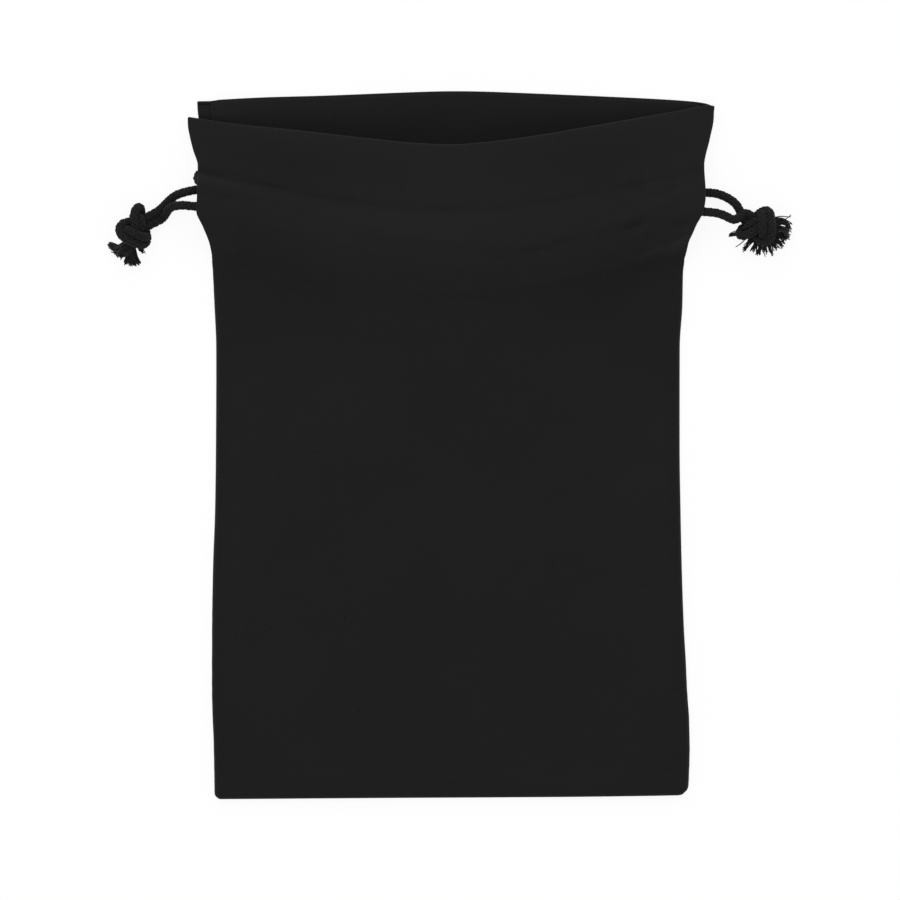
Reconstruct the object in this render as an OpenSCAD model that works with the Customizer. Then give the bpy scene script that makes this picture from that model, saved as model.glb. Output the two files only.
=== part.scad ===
// Cotton drawstring pouch for glasses, lying on its back.
// +X is to the right, +Y runs towards the mouth, +Z is up.
// The origin is the middle of the surface that the pouch lies on.

/* [Pouch] */
// Length from the bottom seam to the top of the back header
pouch_l = 177; // [172:0.5:182]
// Width across the body's bottom corners
body_w = 119; // [116:0.5:122]
// Width across the front header's corners
mouth_w = 132; // [130:0.5:134]
// Height of the space inside the body
belly_h = 10; // [7:0.5:13]
// How far the middle of the front lip stands above its ends
mouth_rise = 13; // [9:0.5:16]
// How far the middle of the front lip sags below its corners
lip_sag = 5.5; // [3:0.5:8]

/* [Cloth] */
// Thickness of an outer panel
cloth_t = 0.8; // [0.6:0.1:0.9]
// Thickness of a turned-in layer
layer_t = 0.5; // [0.3:0.1:0.6]
// Width of the seam margins inside the body
margin_w = 7; // [5:0.5:9]
// Width of the turned edge of a cord slit
slit_hem_w = 2.4; // [2:0.1:2.6]
// Thickness of the turned edge of a cord slit
slit_hem_t = 0.4; // [0.3:0.1:0.5]

/* [Casing] */
// Distance from the front lip's corners down to the upper stitch row
header_h = 13.5; // [13:0.5:15]
// Distance between the two stitch rows
casing_h = 21; // [20:0.5:22]
// Height of the channel that the drawcords slide in
channel_h = 3.4; // [3.4:0.1:4]

/* [Drawcords] */
// Diameter of a drawcord
cord_d = 2.4; // [2.2:0.1:2.4]
// Diameter of a knot's middle
knot_d = 9; // [8:0.5:9.5]
// Length of tail that lies ready inside the casing
tail_in_casing = 18; // [14:1:18]

/* [Thread] */
// Thickness of a row of stitches
thread_d = 0.5; // [0.4:0.1:0.6]

/* [Hidden] */

// Colours
cloth_black = [0.13, 0.13, 0.14];
lining_black = [0.18, 0.18, 0.19];
thread_black = [0.3, 0.3, 0.32];
cord_black = [0.09, 0.09, 0.1];

// Places along the pouch
bottom_y = -pouch_l / 2;
back_corner_y = pouch_l / 2 - 2.5;
lip_y = back_corner_y - 2.5;
header_row_y = lip_y - header_h;
casing_row_y = header_row_y - casing_h;
slit_base_y = casing_row_y - 2.5;
back_row_shift = 2;
raw_edge = 1;
body_half = body_w / 2;
mouth_half = mouth_w / 2;

// Heights of the layers, from the ground up
back_top = cloth_t;
edge_lift = 5;
seam_band = 0.9;
margin_t = 2 * layer_t;
layer_gap = 0.06;
cord_gap = 0.3;
back_cord_z = back_top + slit_hem_t + cord_gap + cord_d / 2;
front_cord_z = edge_lift + layer_t + cord_gap + cord_d / 2;

// Half the width of the pouch at each height along it, for the body and the front header
front_side = [
    [bottom_y, body_half], [-40, body_half], [0, body_half - 1], [slit_base_y - 2, body_half],
    [slit_base_y + 5, body_half + 1.5], [slit_base_y + 13, body_half + 4.3],
    [header_row_y, body_half + 4.5], [lip_y, mouth_half]
];
// The same for the back header, which is a little narrower
back_side = [
    [bottom_y, body_half], [-40, body_half], [0, body_half - 1], [slit_base_y - 2, body_half],
    [slit_base_y + 5, body_half + 1.5], [slit_base_y + 13, body_half + 4.3],
    [back_corner_y, body_half + 4]
];
function half_at(y) = lookup(y, front_side);

// How far the front cloth sags towards the bottom in its middle
front_sag = [
    [-20, 0], [20, 4], [casing_row_y, 10], [casing_row_y + 11, 11.5],
    [header_row_y, 8.5], [lip_y, lip_sag]
];
// How high the front cloth's sides lie, from the seams up to the header
edge_height = [
    [slit_base_y, back_top], [casing_row_y, back_top + 0.9], [casing_row_y + 4.5, edge_lift],
    [header_row_y + 1, edge_lift], [header_row_y + 5, edge_lift - 1.5], [lip_y, edge_lift - 2.8]
];
// How much higher its middle lies
middle_rise = [
    [bottom_y + 1.8, 0], [bottom_y + 5, 0.25 * belly_h], [bottom_y + 14, 0.65 * belly_h],
    [bottom_y + 30, 0.9 * belly_h], [0, belly_h], [slit_base_y, 0.5 * (belly_h + mouth_rise)],
    [lip_y, mouth_rise]
];

// The cord channel of the front casing and of the back casing, as heights across them
front_channel = [
    [casing_row_y + 1, 0], [casing_row_y + 4.8, channel_h],
    [header_row_y - 3.8, channel_h], [header_row_y - 0.6, 0]
];
back_channel = [
    [casing_row_y + 3.2, 0], [casing_row_y + 9, channel_h],
    [header_row_y + 0.2, channel_h], [header_row_y + back_row_shift, 0]
];

// The mouth's bow is flat this far out from the middle, where the cord tails lie
bow_half = 46;
function bow(x) = abs(x) < bow_half ? pow(1 - pow(x / bow_half, 2), 2) : 0;
function dome(u) = 1 - pow(u, 4);
// The body's dome turns into the mouth's bow on the way up
function bulge(u, y) =
    let (m = lookup(y, [[0, 0], [slit_base_y, 1]]))
    (1 - m) * dome(u) + m * bow(u * half_at(y));
// The front cloth clears the seam margins inside the body
function seam_lift(u, y) =
    abs(u) > 0.98 || y < bottom_y + 1.2 ? 0 : lookup(y, [[slit_base_y - 6, margin_t + 0.1], [slit_base_y + 3, 0]]);

// The inner surface of the front, at a share u of its half width and at a height y along it
function inner_z(u, y) =
    lookup(y, edge_height) + max(seam_lift(u, y), lookup(y, middle_rise) * bulge(u, y));
function front_point(u, y, up) =
    [u * half_at(y), y - lookup(y, front_sag) * bow(u * half_at(y)), inner_z(u, y) + up];
// The front panel lies over the turned-in layer, and over the cord channel within it
function panel_gap(y) =
    lookup(y, [[casing_row_y - 3, 0], [casing_row_y - raw_edge - 0.5, layer_t + layer_gap]])
    + lookup(y, front_channel);

// Shares of the half width at which the front cloth has its lines of points
half_shares = [0.1, 0.2, 0.3, 0.4, 0.5, 0.6, 0.7, 0.79, 0.86, 0.92, 0.97, 0.985, 1];
shares = concat([for (i = [len(half_shares) - 1 : -1 : 0]) -half_shares[i]], [0], half_shares);
body_rows = [
    bottom_y, bottom_y + seam_band, bottom_y + 1.8, bottom_y + 5, bottom_y + 10, bottom_y + 18,
    bottom_y + 27, -50, -36, -20, -4, 12, 26, 36, slit_base_y - 3, slit_base_y
];
casing_rows = [
    casing_row_y - raw_edge - 0.5, casing_row_y, casing_row_y + 1, casing_row_y + 3,
    casing_row_y + 4.8, casing_row_y + 9, casing_row_y + 13, header_row_y - 3.8,
    header_row_y - 2, header_row_y - 0.6
];
header_rows = [header_row_y + 1, header_row_y + 5, header_row_y + 10, lip_y];

// Drawcord passes: each cord keeps its own line through both casings, and turns back at the far slit
left_front_y = [60.8, 55.5];
left_back_y = [64.6, 60];
right_front_y = [59.6, 64.7];
right_back_y = [64, 68.5];
turn_x = 59.2;
hem_set_back = 3.6;
tail_start = 64 - tail_in_casing;
run_gap = 0.4;
travel_x = [tail_start - run_gap, 34, 22, 11, 0, -11, -22, -34, -48, -turn_x];

// Tails: out of the casing along X, then down to the knot that lies on the ground
left_front_route = [
    [-tail_start, 60.8, 7], [-55, 60.8, 7], [-63.4, 61, 7], [-66.6, 61.2, 6.6],
    [-69.4, 60.6, 6.1], [-72, 58.9, 5.7], [-74.6, 57.1, 5.4], [-77.4, 55.7, 5.2]
];
left_back_route = [
    [-tail_start, 64.6, 2.7], [-55, 64.6, 2.7], [-63.4, 64.6, 2.7], [-66.4, 63.9, 2.7],
    [-69.2, 62.8, 3.2], [-71.6, 61.3, 3.8], [-74, 59.5, 4.2], [-77.6, 56.9, 4.6]
];
right_front_route = [
    [tail_start, 59.6, 7], [55, 59.6, 7], [63.4, 59.6, 7], [66.4, 59.2, 6.7],
    [69.2, 58.1, 6.3], [71.4, 56.9, 5.9], [73.8, 56.1, 5.5], [77, 55.9, 5.2]
];
right_back_route = [
    [tail_start, 64, 2.7], [55, 64, 2.7], [63.4, 64, 2.7], [66.6, 63.6, 2.7],
    [69.6, 62.2, 2.9], [72, 60.3, 3.4], [74, 58.6, 4], [77, 56.4, 4.6]
];

// Knots: the middle, and where the crossing strands stand out of it
left_knot_at = [-78.5, 55.5, 5.1];
left_lobes = [[-78, 59.9, 3.8], [-82.4, 55.3, 4], [-74.4, 54.1, 4.2], [-79.6, 51.5, 4], [-78.2, 55.1, 6.4]];
right_knot_at = [77.3, 55.9, 5.1];
right_lobes = [[74.8, 58, 4], [79.8, 58.2, 4], [80, 53.6, 4], [74.9, 53.3, 4], [77.3, 55.7, 6.2]];
lobe_d = 6;
// Frayed ends: the direction of each bundle of loose yarns round the knot, and how far it reaches
left_tufts = [[-137, 8], [-97, 9.3], [-67, 7.6]];
left_tuft_d = 2.4;
right_tufts = [[-135, 7.4], [-104, 7.5], [-74, 7.5], [-44, 8], [-20, 7.4], [18, 7]];
right_tuft_d = 1.7;
tuft_from = 4.3;
tuft_root_z = 3.6;
tuft_tip_z = 2.4;
tuft_spread = 1.15;

cord_sides = 8;
thread_sides = 6;
knot_steps = 24;
tuft_steps = 20;

// A closed sheet between a lower and an upper grid of points
module sheet(low, up) {
    rows = len(low);
    cols = len(low[0]);
    n = rows * cols;
    points = [for (grid = [low, up]) for (row = grid) for (p = row) p];
    function at(i, j) = i * cols + j;
    top = [for (i = [0 : rows - 2]) for (j = [0 : cols - 2])
        each [
            [n + at(i, j), n + at(i + 1, j), n + at(i + 1, j + 1)],
            [n + at(i, j), n + at(i + 1, j + 1), n + at(i, j + 1)]
        ]];
    base = [for (i = [0 : rows - 2]) for (j = [0 : cols - 2])
        each [[at(i, j), at(i + 1, j + 1), at(i + 1, j)], [at(i, j), at(i, j + 1), at(i + 1, j + 1)]]];
    ends = [for (j = [0 : cols - 2])
        each [
            [at(0, j), n + at(0, j), n + at(0, j + 1)],
            [at(0, j), n + at(0, j + 1), at(0, j + 1)],
            [at(rows - 1, j), n + at(rows - 1, j + 1), n + at(rows - 1, j)],
            [at(rows - 1, j), at(rows - 1, j + 1), n + at(rows - 1, j + 1)]
        ]];
    sides = [for (i = [0 : rows - 2])
        each [
            [at(i, 0), at(i + 1, 0), n + at(i + 1, 0)],
            [at(i, 0), n + at(i + 1, 0), n + at(i, 0)],
            [at(i, cols - 1), n + at(i + 1, cols - 1), at(i + 1, cols - 1)],
            [at(i, cols - 1), n + at(i, cols - 1), n + at(i + 1, cols - 1)]
        ]];
    polyhedron(points, concat(top, base, ends, sides), convexity = 6);
}

// A round tube swept along a route
function unit(v) = v / norm(v);
function heading(route, i) = unit(route[min(i + 1, len(route) - 1)] - route[max(i - 1, 0)]);
function ring(route, i, r, sides) =
    let (t = heading(route, i), across = unit(cross(t, [0, 0, 1])), up = cross(across, t))
    [for (k = [0 : sides - 1])
        let (a = 360 * (k + 0.5) / sides)
        route[i] + r * cos(a) * across + r * sin(a) * up];
module tube(route, d, sides) {
    rings = len(route);
    points = [for (i = [0 : rings - 1]) each ring(route, i, d / 2, sides)];
    walls = [for (i = [0 : rings - 2]) for (k = [0 : sides - 1])
        let (a = i * sides + k, b = i * sides + (k + 1) % sides)
        each [[a, b, b + sides], [a, b + sides, a + sides]]];
    near_cap = [for (k = [1 : sides - 2]) [0, k + 1, k]];
    far = (rings - 1) * sides;
    far_cap = [for (k = [1 : sides - 2]) [far, far + k, far + k + 1]];
    polyhedron(points, concat(walls, near_cap, far_cap), convexity = 6);
}

// A tapered rod with round steps, from one point to another
module rod(a, b, d1, d2, steps) {
    v = b - a;
    translate(a)
        rotate([0, acos(v.z / norm(v)), atan2(v.y, v.x)])
            cylinder(d1 = d1, d2 = d2, h = norm(v), $fn = steps);
}

// The pouch's two sides and bottom as an outline, set in by a distance
function side_points(profile, set_in, from, to) =
    [for (p = profile) if (p[0] > from && p[0] < to) [p[1] - set_in, p[0]]];
function right_edge(profile, set_in, from, to) = concat(
    [[lookup(from, profile) - set_in, from]],
    side_points(profile, set_in, from, to),
    [[lookup(to, profile) - set_in, to]]
);
function flipped(points) = [for (i = [len(points) - 1 : -1 : 0]) [-points[i][0], points[i][1]]];

module back_panel() {
    edge = right_edge(back_side, 0, bottom_y, back_corner_y);
    arch = [for (x = [48, 32, 16, 0, -16, -32, -48])
        [x, back_corner_y + 2.5 * (1 - pow(x / (body_half + 4), 2))]];
    color(cloth_black)
        linear_extrude(cloth_t)
            polygon(concat(edge, arch, flipped(edge)));
}

module front_panel() {
    rows = concat(body_rows, casing_rows, header_rows);
    low = [for (y = rows) [for (u = shares) front_point(u, y, panel_gap(y))]];
    up = [for (row = low) [for (p = row) p + [0, 0, cloth_t]]];
    color(cloth_black)
        sheet(low, up);
}

// The turned-in layer of the back: flat at both stitch rows, raised over the cord channel
module back_hem() {
    half = body_half + 4 - hem_set_back;
    raw = casing_row_y + back_row_shift - raw_edge;
    fold = back_corner_y - 0.2;
    line = concat([[raw, 0]], back_channel, [[fold, 0]]);
    low = [for (p = line) [p[0], back_top + p[1]]];
    high = [for (i = [len(line) - 1 : -1 : 0]) [line[i][0], back_top + line[i][1] + layer_t]];
    color(lining_black)
        translate([-half, 0, 0])
            rotate([90, 0, 90])
                linear_extrude(2 * half)
                    polygon(concat(low, high));
}

module front_hem() {
    rows = concat([casing_row_y - raw_edge], [for (i = [1 : len(casing_rows) - 1]) casing_rows[i]], header_rows);
    end = 1 - hem_set_back / (body_half + 4.5);
    inner = [for (u = shares) if (abs(u) < end) u];
    low = [for (y = rows) [for (u = concat([-end], inner, [end])) front_point(u, y, 0)]];
    up = [for (row = low) [for (p = row) p + [0, 0, layer_t]]];
    color(lining_black)
        sheet(low, up);
}

// Both panels' margins along a side, sewn together and lying on the back panel
module side_margin(side) {
    seam = seam_band + 1;
    from = bottom_y + seam + margin_w + 0.2;
    to = slit_base_y - 10;
    outer = right_edge(back_side, seam, from, to);
    inner = right_edge(back_side, seam + margin_w, from, to);
    color(lining_black)
        translate([0, 0, back_top])
            linear_extrude(margin_t)
                polygon([for (p = concat(outer, [for (i = [len(inner) - 1 : -1 : 0]) inner[i]]))
                    [side * p[0], p[1]]]);
}
module left_seam_allowance() {
    side_margin(-1);
}
module right_seam_allowance() {
    side_margin(1);
}
module bottom_seam_allowance() {
    seam = seam_band + 1;
    half = body_half - seam;
    color(lining_black)
        translate([-half, bottom_y + seam, back_top])
            cube([2 * half, margin_w, margin_t]);
}

// Seam threads run in the band where both panels touch
module side_thread(side) {
    edge = right_edge(back_side, seam_band / 2, bottom_y + seam_band / 2, slit_base_y - 1);
    color(thread_black)
        tube([for (p = edge) [side * p[0], p[1], back_top]], thread_d, thread_sides);
}
module left_seam_thread() {
    side_thread(-1);
}
module right_seam_thread() {
    side_thread(1);
}
module bottom_seam_thread() {
    half = body_half - 2 * seam_band;
    y = bottom_y + seam_band / 2;
    color(thread_black)
        tube([[-half, y, back_top], [0, y, back_top], [half, y, back_top]], thread_d, thread_sides);
}

// A stitch row across the front, half sunk in the panel
module front_row(y) {
    route = [for (u = shares) if (abs(u) < 0.98) front_point(u, y, panel_gap(y) + cloth_t)];
    color(thread_black)
        tube(route, thread_d, thread_sides);
}
module front_header_stitch() {
    front_row(header_row_y);
}
module front_casing_stitch() {
    front_row(casing_row_y);
}
// A stitch row across the back, where its two layers touch
module back_row(y) {
    half = body_half + 4 - hem_set_back - 1;
    color(thread_black)
        tube([[-half, y, back_top], [0, y, back_top], [half, y, back_top]], thread_d, thread_sides);
}
module back_header_stitch() {
    back_row(header_row_y + back_row_shift + 0.5);
}
module back_casing_stitch() {
    back_row(casing_row_y + back_row_shift);
}

// The turned edge of the front panel beside a slit, on the panel's inner face
module front_slit_hem(side) {
    rows = [for (y = casing_rows) if (y > casing_row_y + 2 && y < header_row_y - 1) y];
    up = [for (y = rows) [for (d = side < 0 ? [0.3, slit_hem_w] : [slit_hem_w, 0.3])
        [side * (half_at(y) - d), y, edge_at(y) + panel_gap(y)]]];
    low = [for (row = up) [for (p = row) p - [0, 0, slit_hem_t]]];
    color(cloth_black)
        sheet(low, up);
}
function edge_at(y) = lookup(y, edge_height);
module back_slit_hem(side) {
    edge = right_edge(back_side, 0.3, casing_row_y + 4.8, header_row_y + 0.8);
    inner = [for (p = edge) p - [slit_hem_w - 0.3, 0]];
    color(cloth_black)
        translate([0, 0, back_top])
            linear_extrude(slit_hem_t)
                polygon([for (p = concat(edge, [for (i = [len(inner) - 1 : -1 : 0]) inner[i]]))
                    [side * p[0], p[1]]]);
}
module left_front_slit_hem() {
    front_slit_hem(-1);
}
module left_back_slit_hem() {
    back_slit_hem(-1);
}
module right_front_slit_hem() {
    front_slit_hem(1);
}
module right_back_slit_hem() {
    back_slit_hem(1);
}

// A drawcord inside the casings: out along the front, round the far slit, and back
module cord_run(side, front_ys, back_ys) {
    function share(x) = (tail_start - x) / (tail_start + turn_x);
    function at_x(ys, x) = ys[0] + (ys[1] - ys[0]) * share(x);
    front = [for (x = travel_x)
        let (y = at_x(front_ys, x), u = x / half_at(y), p = front_point(u, y, 0))
        [side * x, p.y, p.z + layer_t + cord_gap + cord_d / 2]];
    a = [-side * turn_x, front_ys[1], front_cord_z];
    b = [-side * turn_x, back_ys[1], back_cord_z];
    middle = (a + b) / 2;
    r = norm(b - a) / 2;
    turn = [for (angle = [-60, -30, 0, 30, 60])
        middle + r * cos(angle) * [-side, 0, 0] + r * sin(angle) * unit(b - a)];
    back = [for (x = [-turn_x, -48, tail_start - run_gap]) [side * x, at_x(back_ys, x), back_cord_z]];
    color(cord_black)
        tube(concat(front, turn, back), cord_d, cord_sides);
}
module left_cord_run() {
    cord_run(-1, left_front_y, left_back_y);
}
module right_cord_run() {
    cord_run(1, right_front_y, right_back_y);
}

module tail(route) {
    color(cord_black)
        tube(route, cord_d, cord_sides);
}
module left_front_tail() {
    tail(left_front_route);
}
module left_back_tail() {
    tail(left_back_route);
}
module right_front_tail() {
    tail(right_front_route);
}
module right_back_tail() {
    tail(right_back_route);
}

// An overhand knot of two strands: a round middle, drawn out to where the strands' bends stand out of it
module knot(middle, lobes) {
    color(cord_black)
        hull() {
            translate(middle)
                sphere(d = knot_d, $fn = knot_steps);
            for (p = lobes)
                translate(p)
                    sphere(d = lobe_d, $fn = knot_steps);
        }
}
module left_knot() {
    knot(left_knot_at, left_lobes);
}
module right_knot() {
    knot(right_knot_at, right_lobes);
}

// Cord ends that have come apart into loose yarns, each bundle wider at its tip
module frayed_ends(middle, tufts, d) {
    function out(angle, reach, z) =
        [middle.x + reach * cos(angle), middle.y + reach * sin(angle), z];
    color(cord_black)
        for (t = tufts)
            rod(out(t[0], tuft_from, tuft_root_z), out(t[0], t[1], tuft_tip_z), d, d * tuft_spread, tuft_steps);
}
module left_frayed_ends() {
    frayed_ends(left_knot_at, left_tufts, left_tuft_d);
}
module right_frayed_ends() {
    frayed_ends(right_knot_at, right_tufts, right_tuft_d);
}

back_panel();
front_panel();
back_hem();
front_hem();
left_seam_allowance();
right_seam_allowance();
bottom_seam_allowance();
left_seam_thread();
right_seam_thread();
bottom_seam_thread();
front_header_stitch();
front_casing_stitch();
back_header_stitch();
back_casing_stitch();
left_front_slit_hem();
left_back_slit_hem();
right_front_slit_hem();
right_back_slit_hem();
left_cord_run();
right_cord_run();
left_front_tail();
left_back_tail();
left_knot();
left_frayed_ends();
right_front_tail();
right_back_tail();
right_knot();
right_frayed_ends();
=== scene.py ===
"""Looks of a cotton drawstring pouch for glasses: cloth, stitching, drawcords, knots and frayed ends."""
import math

import bpy
import numpy as np
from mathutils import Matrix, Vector


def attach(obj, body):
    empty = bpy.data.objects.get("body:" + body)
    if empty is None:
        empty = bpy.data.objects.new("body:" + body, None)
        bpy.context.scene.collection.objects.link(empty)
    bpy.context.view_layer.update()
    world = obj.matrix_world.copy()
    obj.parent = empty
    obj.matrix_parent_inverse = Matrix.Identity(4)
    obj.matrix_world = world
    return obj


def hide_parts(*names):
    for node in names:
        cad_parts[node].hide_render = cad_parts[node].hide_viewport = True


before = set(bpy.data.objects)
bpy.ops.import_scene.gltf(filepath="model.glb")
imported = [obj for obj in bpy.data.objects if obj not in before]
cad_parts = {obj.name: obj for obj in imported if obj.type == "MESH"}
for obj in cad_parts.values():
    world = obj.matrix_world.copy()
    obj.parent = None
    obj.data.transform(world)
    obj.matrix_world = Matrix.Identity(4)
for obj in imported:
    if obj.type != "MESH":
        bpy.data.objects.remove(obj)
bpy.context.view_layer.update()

# Lengths in this script are millimetres until a mesh is made; MM turns them into the frame's metres.
MM = 0.001


# ---------------------------------------------------------------- camera

# The pouch is looked at from above, from a little beyond the mouth, with the mouth at the top of the view.
VIEW_TILT = math.radians(8)
VIEW_DISTANCE = 1562.5
VIEW_LENS = 250
VIEW_AIM = (0, -0.9, 0)


def make_camera():
    data = bpy.data.cameras.new("above_pouch")
    data.lens = VIEW_LENS
    data.sensor_width = 36
    data.clip_end = 10
    camera = bpy.data.objects.new("above_pouch", data)
    bpy.context.scene.collection.objects.link(camera)
    back = Vector((0, math.sin(VIEW_TILT), math.cos(VIEW_TILT)))
    camera.location = (Vector(VIEW_AIM) + VIEW_DISTANCE * back) * MM
    camera.rotation_euler = (-VIEW_TILT, 0, 0)
    bpy.context.scene.camera = camera


make_camera()

# ---------------------------------------------------------------- drawcord routes

CORD_D = 2.4
TAIL_START = 46
RUN_GAP = 0.4
TURN_X = 59.2
BACK_CORD_Z = 2.7
FRONT_CORD_LIFT = 2.0
TURN_REACH = 78
LEFT_FRONT_ROUTE = [
    [-46, 60.8, 7], [-55, 60.8, 7], [-63.4, 61, 7], [-66.6, 61.2, 6.6],
    [-69.4, 60.6, 6.1], [-72, 58.9, 5.7], [-74.6, 57.1, 5.4], [-77.4, 55.7, 5.2],
]
LEFT_BACK_ROUTE = [
    [-46, 64.6, 2.7], [-55, 64.6, 2.7], [-63.4, 64.6, 2.7], [-66.4, 63.9, 2.7],
    [-69.2, 62.8, 3.2], [-71.6, 61.3, 3.8], [-74, 59.5, 4.2], [-77.6, 56.9, 4.6],
]
RIGHT_FRONT_ROUTE = [
    [46, 59.6, 7], [55, 59.6, 7], [63.4, 59.6, 7], [66.4, 59.2, 6.7],
    [69.2, 58.1, 6.3], [71.4, 56.9, 5.9], [73.8, 56.1, 5.5], [77, 55.9, 5.2],
]
RIGHT_BACK_ROUTE = [
    [46, 64, 2.7], [55, 64, 2.7], [63.4, 64, 2.7], [66.6, 63.6, 2.7],
    [69.6, 62.2, 2.9], [72, 60.3, 3.4], [74, 58.6, 4], [77, 56.4, 4.6],
]
# Where each cord lies across the pouch: (place across, place along) in the front casing, and its two ends in
# the back casing, near its own slit and at the far one
LEFT_FRONT_LINE = [
    (-46, 60.8), (-40, 59), (-30, 55.5), (-15, 51), (0, 49.2), (15, 49), (30, 50.4), (45, 53), (59.2, 55.3),
]
RIGHT_FRONT_LINE = [
    (-59.2, 66.2), (-52, 65.2), (-45, 63.8), (-38, 61.6), (-30, 59), (-15, 55), (0, 53), (15, 53), (30, 55.3),
    (40, 58.2), (46, 59.6),
]
LEFT_BACK_Y = (64.6, 60)
RIGHT_BACK_Y = (64, 69.6)


# ---------------------------------------------------------------- small tools

def ease(t):
    """0 before 0, 1 after 1, and smooth between."""
    t = np.clip(t, 0, 1)
    return t * t * (3 - 2 * t)


def bell(x, middle, width):
    """1 in the middle, and falling smoothly to 0 on both sides."""
    return np.exp(-((x - middle) / width) ** 2)


def window(x, low, rise, high, fall):
    """Rises from 0 to 1 over a length from low, and falls back to 0 over another length from high."""
    return ease((x - low) / rise) * (1 - ease((x - high) / fall))


def curve(x, points):
    """A smooth line through (place, value) points that never swings past them."""
    px, py = np.array(points, float).T
    slope = np.diff(py) / np.diff(px)
    before, after = slope[:-1], slope[1:]
    turn = before * after
    inner = np.where(turn > 0, 2 * turn / np.where(turn > 0, before + after, 1), 0)
    tangent = np.concatenate([slope[:1], inner, slope[-1:]])
    x = np.clip(x, px[0], px[-1])
    i = np.clip(np.searchsorted(px, x) - 1, 0, len(px) - 2)
    h = px[i + 1] - px[i]
    t = (x - px[i]) / h
    rise = t * t * (3 - 2 * t)
    lean = h * (t * (1 - t) ** 2 * tangent[i] - t * t * (1 - t) * tangent[i + 1])
    return (1 - rise) * py[i] + rise * py[i + 1] + lean


def graded(stops, fine, coarse, reach, fine_at=None):
    """Places through every stop, closer together near those of fine_at, or near all stops but the first."""
    places = []
    fine_at = stops[1:] if fine_at is None else fine_at
    for a, b in zip(stops, stops[1:]):
        y = np.linspace(a, b, 200)
        near = np.min(np.abs(y[:, None] - np.array(fine_at)[None, :]), axis=1)
        spacing = fine + (coarse - fine) * ease(near / reach)
        steps = np.concatenate([[0], np.cumsum(np.diff(y) * 2 / (spacing[1:] + spacing[:-1]))])
        count = max(1, int(math.ceil(steps[-1])))
        places.extend(np.interp(np.linspace(0, steps[-1], count + 1)[:-1], steps, y))
    return np.array(places + [stops[-1]])


def lengths(line):
    """How far along a line each of its points is."""
    return np.concatenate([[0], np.cumsum(np.linalg.norm(np.diff(line, axis=0), axis=1))])


def along(line, places):
    """Points at these distances along a line."""
    far = lengths(line)
    return np.stack([np.interp(places, far, line[:, k]) for k in range(3)], axis=1)


def rounded(points, step):
    """A smooth route through points, as points a step apart."""
    p = np.array(points, float)
    far = lengths(p)
    fine = np.linspace(0, far[-1], max(8, int(far[-1] / 0.05)))
    tangent = np.gradient(p, far, axis=0)
    i = np.clip(np.searchsorted(far, fine) - 1, 0, len(p) - 2)
    h = (far[i + 1] - far[i])[:, None]
    t = ((fine - far[i])[:, None]) / h
    line = (
        (1 + 2 * t) * (1 - t) ** 2 * p[i] + t * (1 - t) ** 2 * h * tangent[i]
        + t * t * (3 - 2 * t) * p[i + 1] - t * t * (1 - t) * h * tangent[i + 1]
    )
    total = lengths(line)[-1]
    return along(line, np.linspace(0, total, max(2, int(round(total / step)) + 1)))


def unit(v):
    return v / np.maximum(np.linalg.norm(v, axis=-1, keepdims=True), 1e-9)


def ripple(rng, count, wave, x, y=None):
    """Gentle irregular waves of about the given wavelength, between about -1 and 1."""
    total = 0
    for _ in range(count):
        turn = rng.uniform(0, math.pi) if y is not None else 0
        pace = 2 * math.pi / (wave * rng.uniform(0.7, 1.5))
        place = x * math.cos(turn) + (y * math.sin(turn) if y is not None else 0)
        total = total + np.sin(pace * place + rng.uniform(0, 2 * math.pi))
    return total / math.sqrt(count)


# ---------------------------------------------------------------- finishes

def math_method(name, turned=False):
    """A method that adds one Math node, with its own reading first, or last if turned."""
    def method(self, *others):
        return self.math(name, *others, self) if turned else self.math(name, self, *others)
    return method


class Reading:
    """A value that a node gives. Python's operators on it add the Math nodes."""

    def __init__(self, tree, socket):
        self.tree = tree
        self.socket = socket

    def math(self, operation, *values):
        node = self.tree.nodes.new("ShaderNodeMath")
        node.operation = operation
        for socket, value in zip(node.inputs, values):
            wire(self.tree, socket, value)
        return Reading(self.tree, node.outputs[0])

    __add__ = math_method("ADD")
    __radd__ = math_method("ADD", turned=True)
    __sub__ = math_method("SUBTRACT")
    __rsub__ = math_method("SUBTRACT", turned=True)
    __mul__ = math_method("MULTIPLY")
    __rmul__ = math_method("MULTIPLY", turned=True)
    __abs__ = math_method("ABSOLUTE")
    __lt__ = math_method("LESS_THAN")
    cosine = math_method("COSINE")
    larger = math_method("MAXIMUM")
    smaller = math_method("MINIMUM")


def wire(tree, socket, value):
    """Links a reading to a socket, or sets the socket to a plain value."""
    if isinstance(value, Reading):
        tree.links.new(value.socket, socket)
    else:
        socket.default_value = value


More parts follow.
